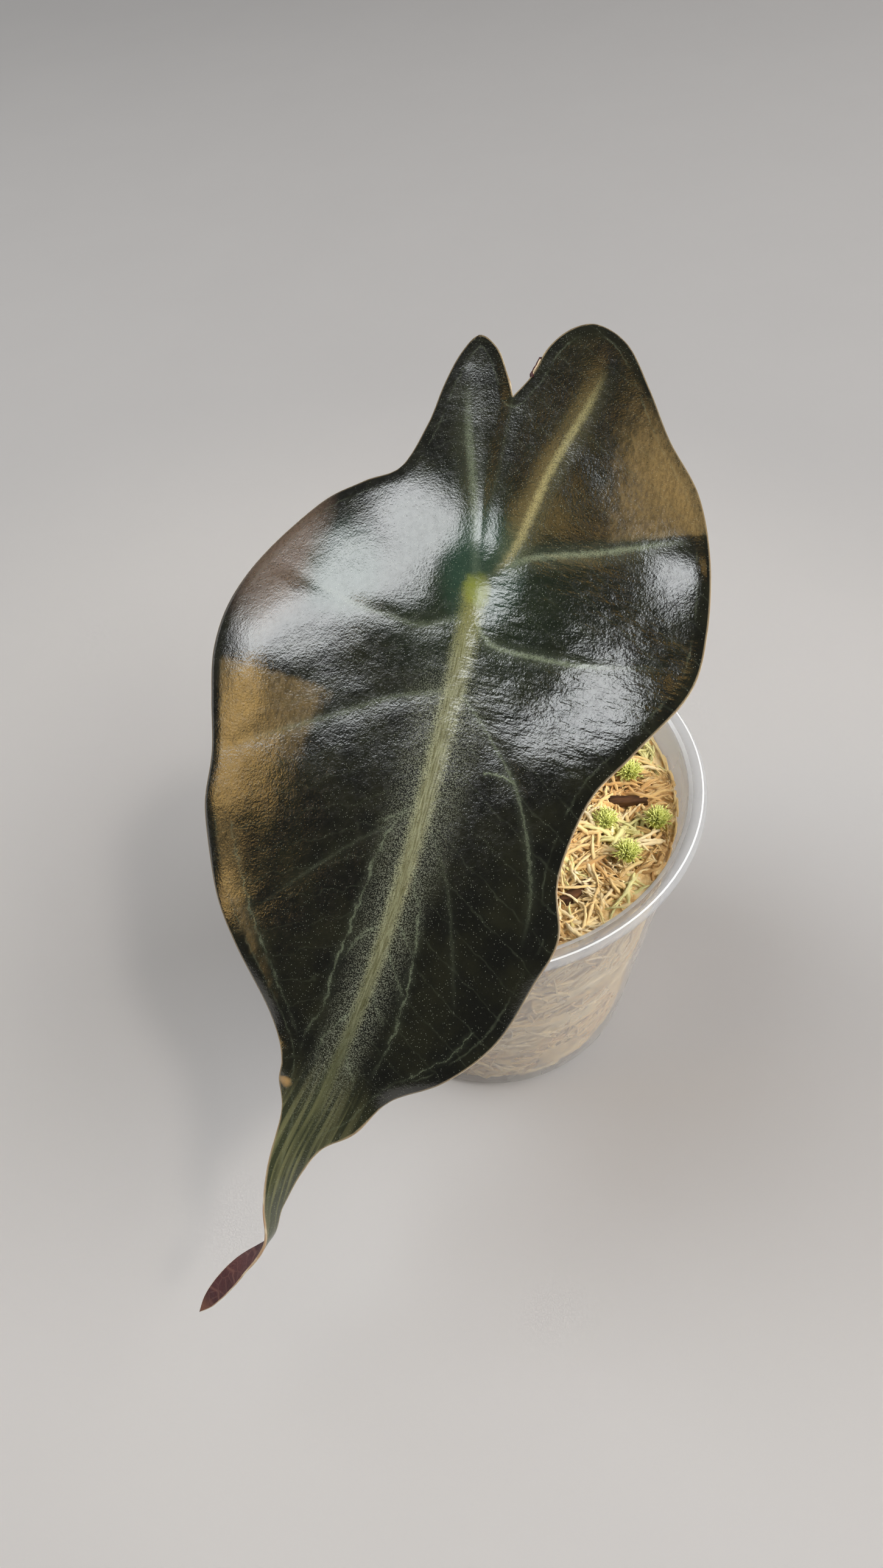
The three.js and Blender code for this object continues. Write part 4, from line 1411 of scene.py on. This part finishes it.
def fibrous(name, scale, stretch, dark, light, roughness, depth):
    # stretched fibres in two tones, with the same fibres as bump
    material, tree, shader = newMaterial(name)
    fibre = grain(objectPlace(tree), scale, 4, 0.6, stretch)
    coat(shader, mixColour(fade(fibre, 0.3, 0.7), dark, light), roughness, fibre, depth)
    return material


def barkMaterial():
    return fibrous("barkBrown", 600, (0.25, 1, 1), barkShape["dark"], barkShape["light"], 0.8, 0.3)


# The stalk: its foot, how far it leans at two heights over the foot, how far it ends inside the blade,
# its radii, and the furrow and ridge of its sheath by depth, angle, width, end and softness.
stalkShape = {
    "foot": (2, 6, 54),
    "lean": ((0.4, 0.6, 22), (2.4, 0.8, 43)),
    "bend": 15,
    "sunk": 0.7,
    "radii": ((0, 4.2), (0.18, 3.9), (0.4, 2.7), (0.7, 2), (1, 1.7)),
    "sides": 32,
    "steps": 90,
    "furrows": ((0.16, -1.9, 0.3, 0.5, 0.35), (-0.07, -1.45, 0.16, 0.42, 0.3)),
    "low": (0.3, 0.32, 0.12),
    "high": (0.2, 0.23, 0.075),
    "lines": (0.4, 0.38, 0.17),
    "flecks": (0.1, 0.022, 0.03),
    "dry": (0.3, 0.17, 0.07),
}


def stalkLine():
    # from the foot to the underside of the blade at its joint
    zero = np.zeros(1)
    lines = veinLines(zero, zero)
    under = bladeRelief(zero, zero, zero, zero, lines) - leafShape["thickness"]
    under = under - ribDepth(zero, zero, lines)
    foot = np.array(stalkShape["foot"], float)
    up = np.array(bladeUp)
    top = middleAt(zero)[0] + up * (under + stalkShape["sunk"])
    leans = [foot + np.array(lean) for lean in stalkShape["lean"]]
    line = smoothLine([foot, *leans, top - up * stalkShape["bend"], top], 30)
    far = np.concatenate([[0], np.cumsum(np.linalg.norm(np.diff(line, axis=0), axis=1))])
    wanted = np.linspace(0, far[-1], stalkShape["steps"] + 1)
    return np.column_stack([np.interp(wanted, far, line[:, k]) for k in range(3)])


def makeStalk():
    line = stalkLine()
    shares = np.linspace(0, 1, len(line))
    bm = bmesh.new()
    growTube(bm, line * mm, rowAt(stalkShape["radii"], shares) * mm, stalkShape["sides"])
    outwards(bm)
    mesh = meshOf(bm, "stalk")
    places = pointsOf(mesh) / mm
    near = np.argmin(np.linalg.norm(places[:, None] - line[None], axis=2), axis=1)
    fromAxis = places - line[near]
    turn = np.arctan2(fromAxis[:, 1], fromAxis[:, 0])
    share = shares[near]
    girth = np.ones(len(places))
    for depth, angle, width, end, soft in stalkShape["furrows"]:
        aside = np.abs(np.angle(np.exp(1j * (turn - angle))))
        girth = girth - depth * bell(aside, width) * smoothStep((end - share) / soft)
    setPoints(mesh, (line[near] + fromAxis * girth[:, None]) * mm)
    length = np.linalg.norm(np.diff(line, axis=0), axis=1).sum()
    setAttribute(mesh, "stalkShare", share)
    unrolled = np.column_stack([fromAxis[:, :2], share * length]) * mm
    setAttribute(mesh, "stalkPlace", unrolled, "FLOAT_VECTOR")
    newPiece("leafStalk", mesh, "stalk", "stalk", stalkMaterial())


def stalkMaterial():
    material, tree, shader = newMaterial("stalkOlive")
    place = attributeOf(tree, "stalkPlace", "Vector")
    share = attributeOf(tree, "stalkShare")
    lines = grain(place, 900, 3, 0.6, (1, 1, 0.07))
    flecks = grain(place, 420, 4, 0.7, (1, 1, 0.22))
    dry = times(fade(share, 0.2, 0.02), fade(grain(place, 200), 0.4, 0.62))
    base = mixColour(fade(share, 0.1, 0.95), stalkShape["low"], stalkShape["high"])
    lined, flecked = times(fade(lines, 0.4, 0.65), 0.35), times(fade(flecks, 0.54, 0.66), 0.8)
    base = painted(stalkShape, base, (lined, "lines"), (flecked, "flecks"), (dry, "dry"))
    coat(shader, base, 0.42, lines, 0.12)
    return material


# The corm in its hollow, with rings round it and roots below.
cormShape = {
    "radius": 6.6,
    "height": 15,
    "gap": 0.4,
    "rings": 26,
    "ringDepth": 0.035,
    "lumps": 0.05,
    "roots": 5,
    "rootStart": 0.3,
    "rootReach": (4, 7.4, 5.2),
    "rootRadii": (0.8, 0.5),
    "dark": (0.1, 0.045, 0.02),
    "light": (0.36, 0.22, 0.11),
}


def makeCorm():
    fx, fy, fz = stalkShape["foot"]
    radius, height = cormShape["radius"], cormShape["height"]
    centre = Vector((fx, fy, fz - cormShape["gap"] - height / 2))
    bm = bmesh.new()
    bmesh.ops.create_uvsphere(bm, u_segments=48, v_segments=36, radius=1)
    for vert in bm.verts:
        ring = 1 + cormShape["ringDepth"] * math.sin(cormShape["rings"] * vert.co.z)
        ring += cormShape["lumps"] * noise.noise(vert.co * 3)
        x, y, z = vert.co
        vert.co = Vector((x * radius * ring, y * radius * ring, z * height / 2)) + centre
    thick, thin = cormShape["rootRadii"]
    for i in range(cormShape["roots"]):
        angle = 2 * math.pi * i / cormShape["roots"] + cormShape["rootStart"]
        way = Vector((math.cos(angle), math.sin(angle), 0))
        drops = (0, 3, 12 - 2 * (i % 2))
        reaches = zip(cormShape["rootReach"], drops)
        line = smoothLine([centre + way * far + Vector((0, 0, -drop)) for far, drop in reaches], 8)
        growTube(bm, line, [thick - (thick - thin) * k / (len(line) - 1) for k in range(len(line))], 10)
    bmesh.ops.scale(bm, verts=bm.verts, vec=(mm, mm, mm))
    outwards(bm)
    newPiece("cormBody", meshOf(bm, "cormBody"), "corm", "corm", cormMaterial())


def cormMaterial():
    return fibrous("cormBrown", 300, (1, 1, 3), cormShape["dark"], cormShape["light"], 0.85, 0.4)


print("studio")
makeCamera()
makeStudio()
print("leaf")
makeLeaf()
print("cup")
makeCup()
print("moss")
makeMossBed()
makeMossStrands()
makeHeads()
print("bark, stalk and corm")
makeBark()
makeStalk()
makeCorm()
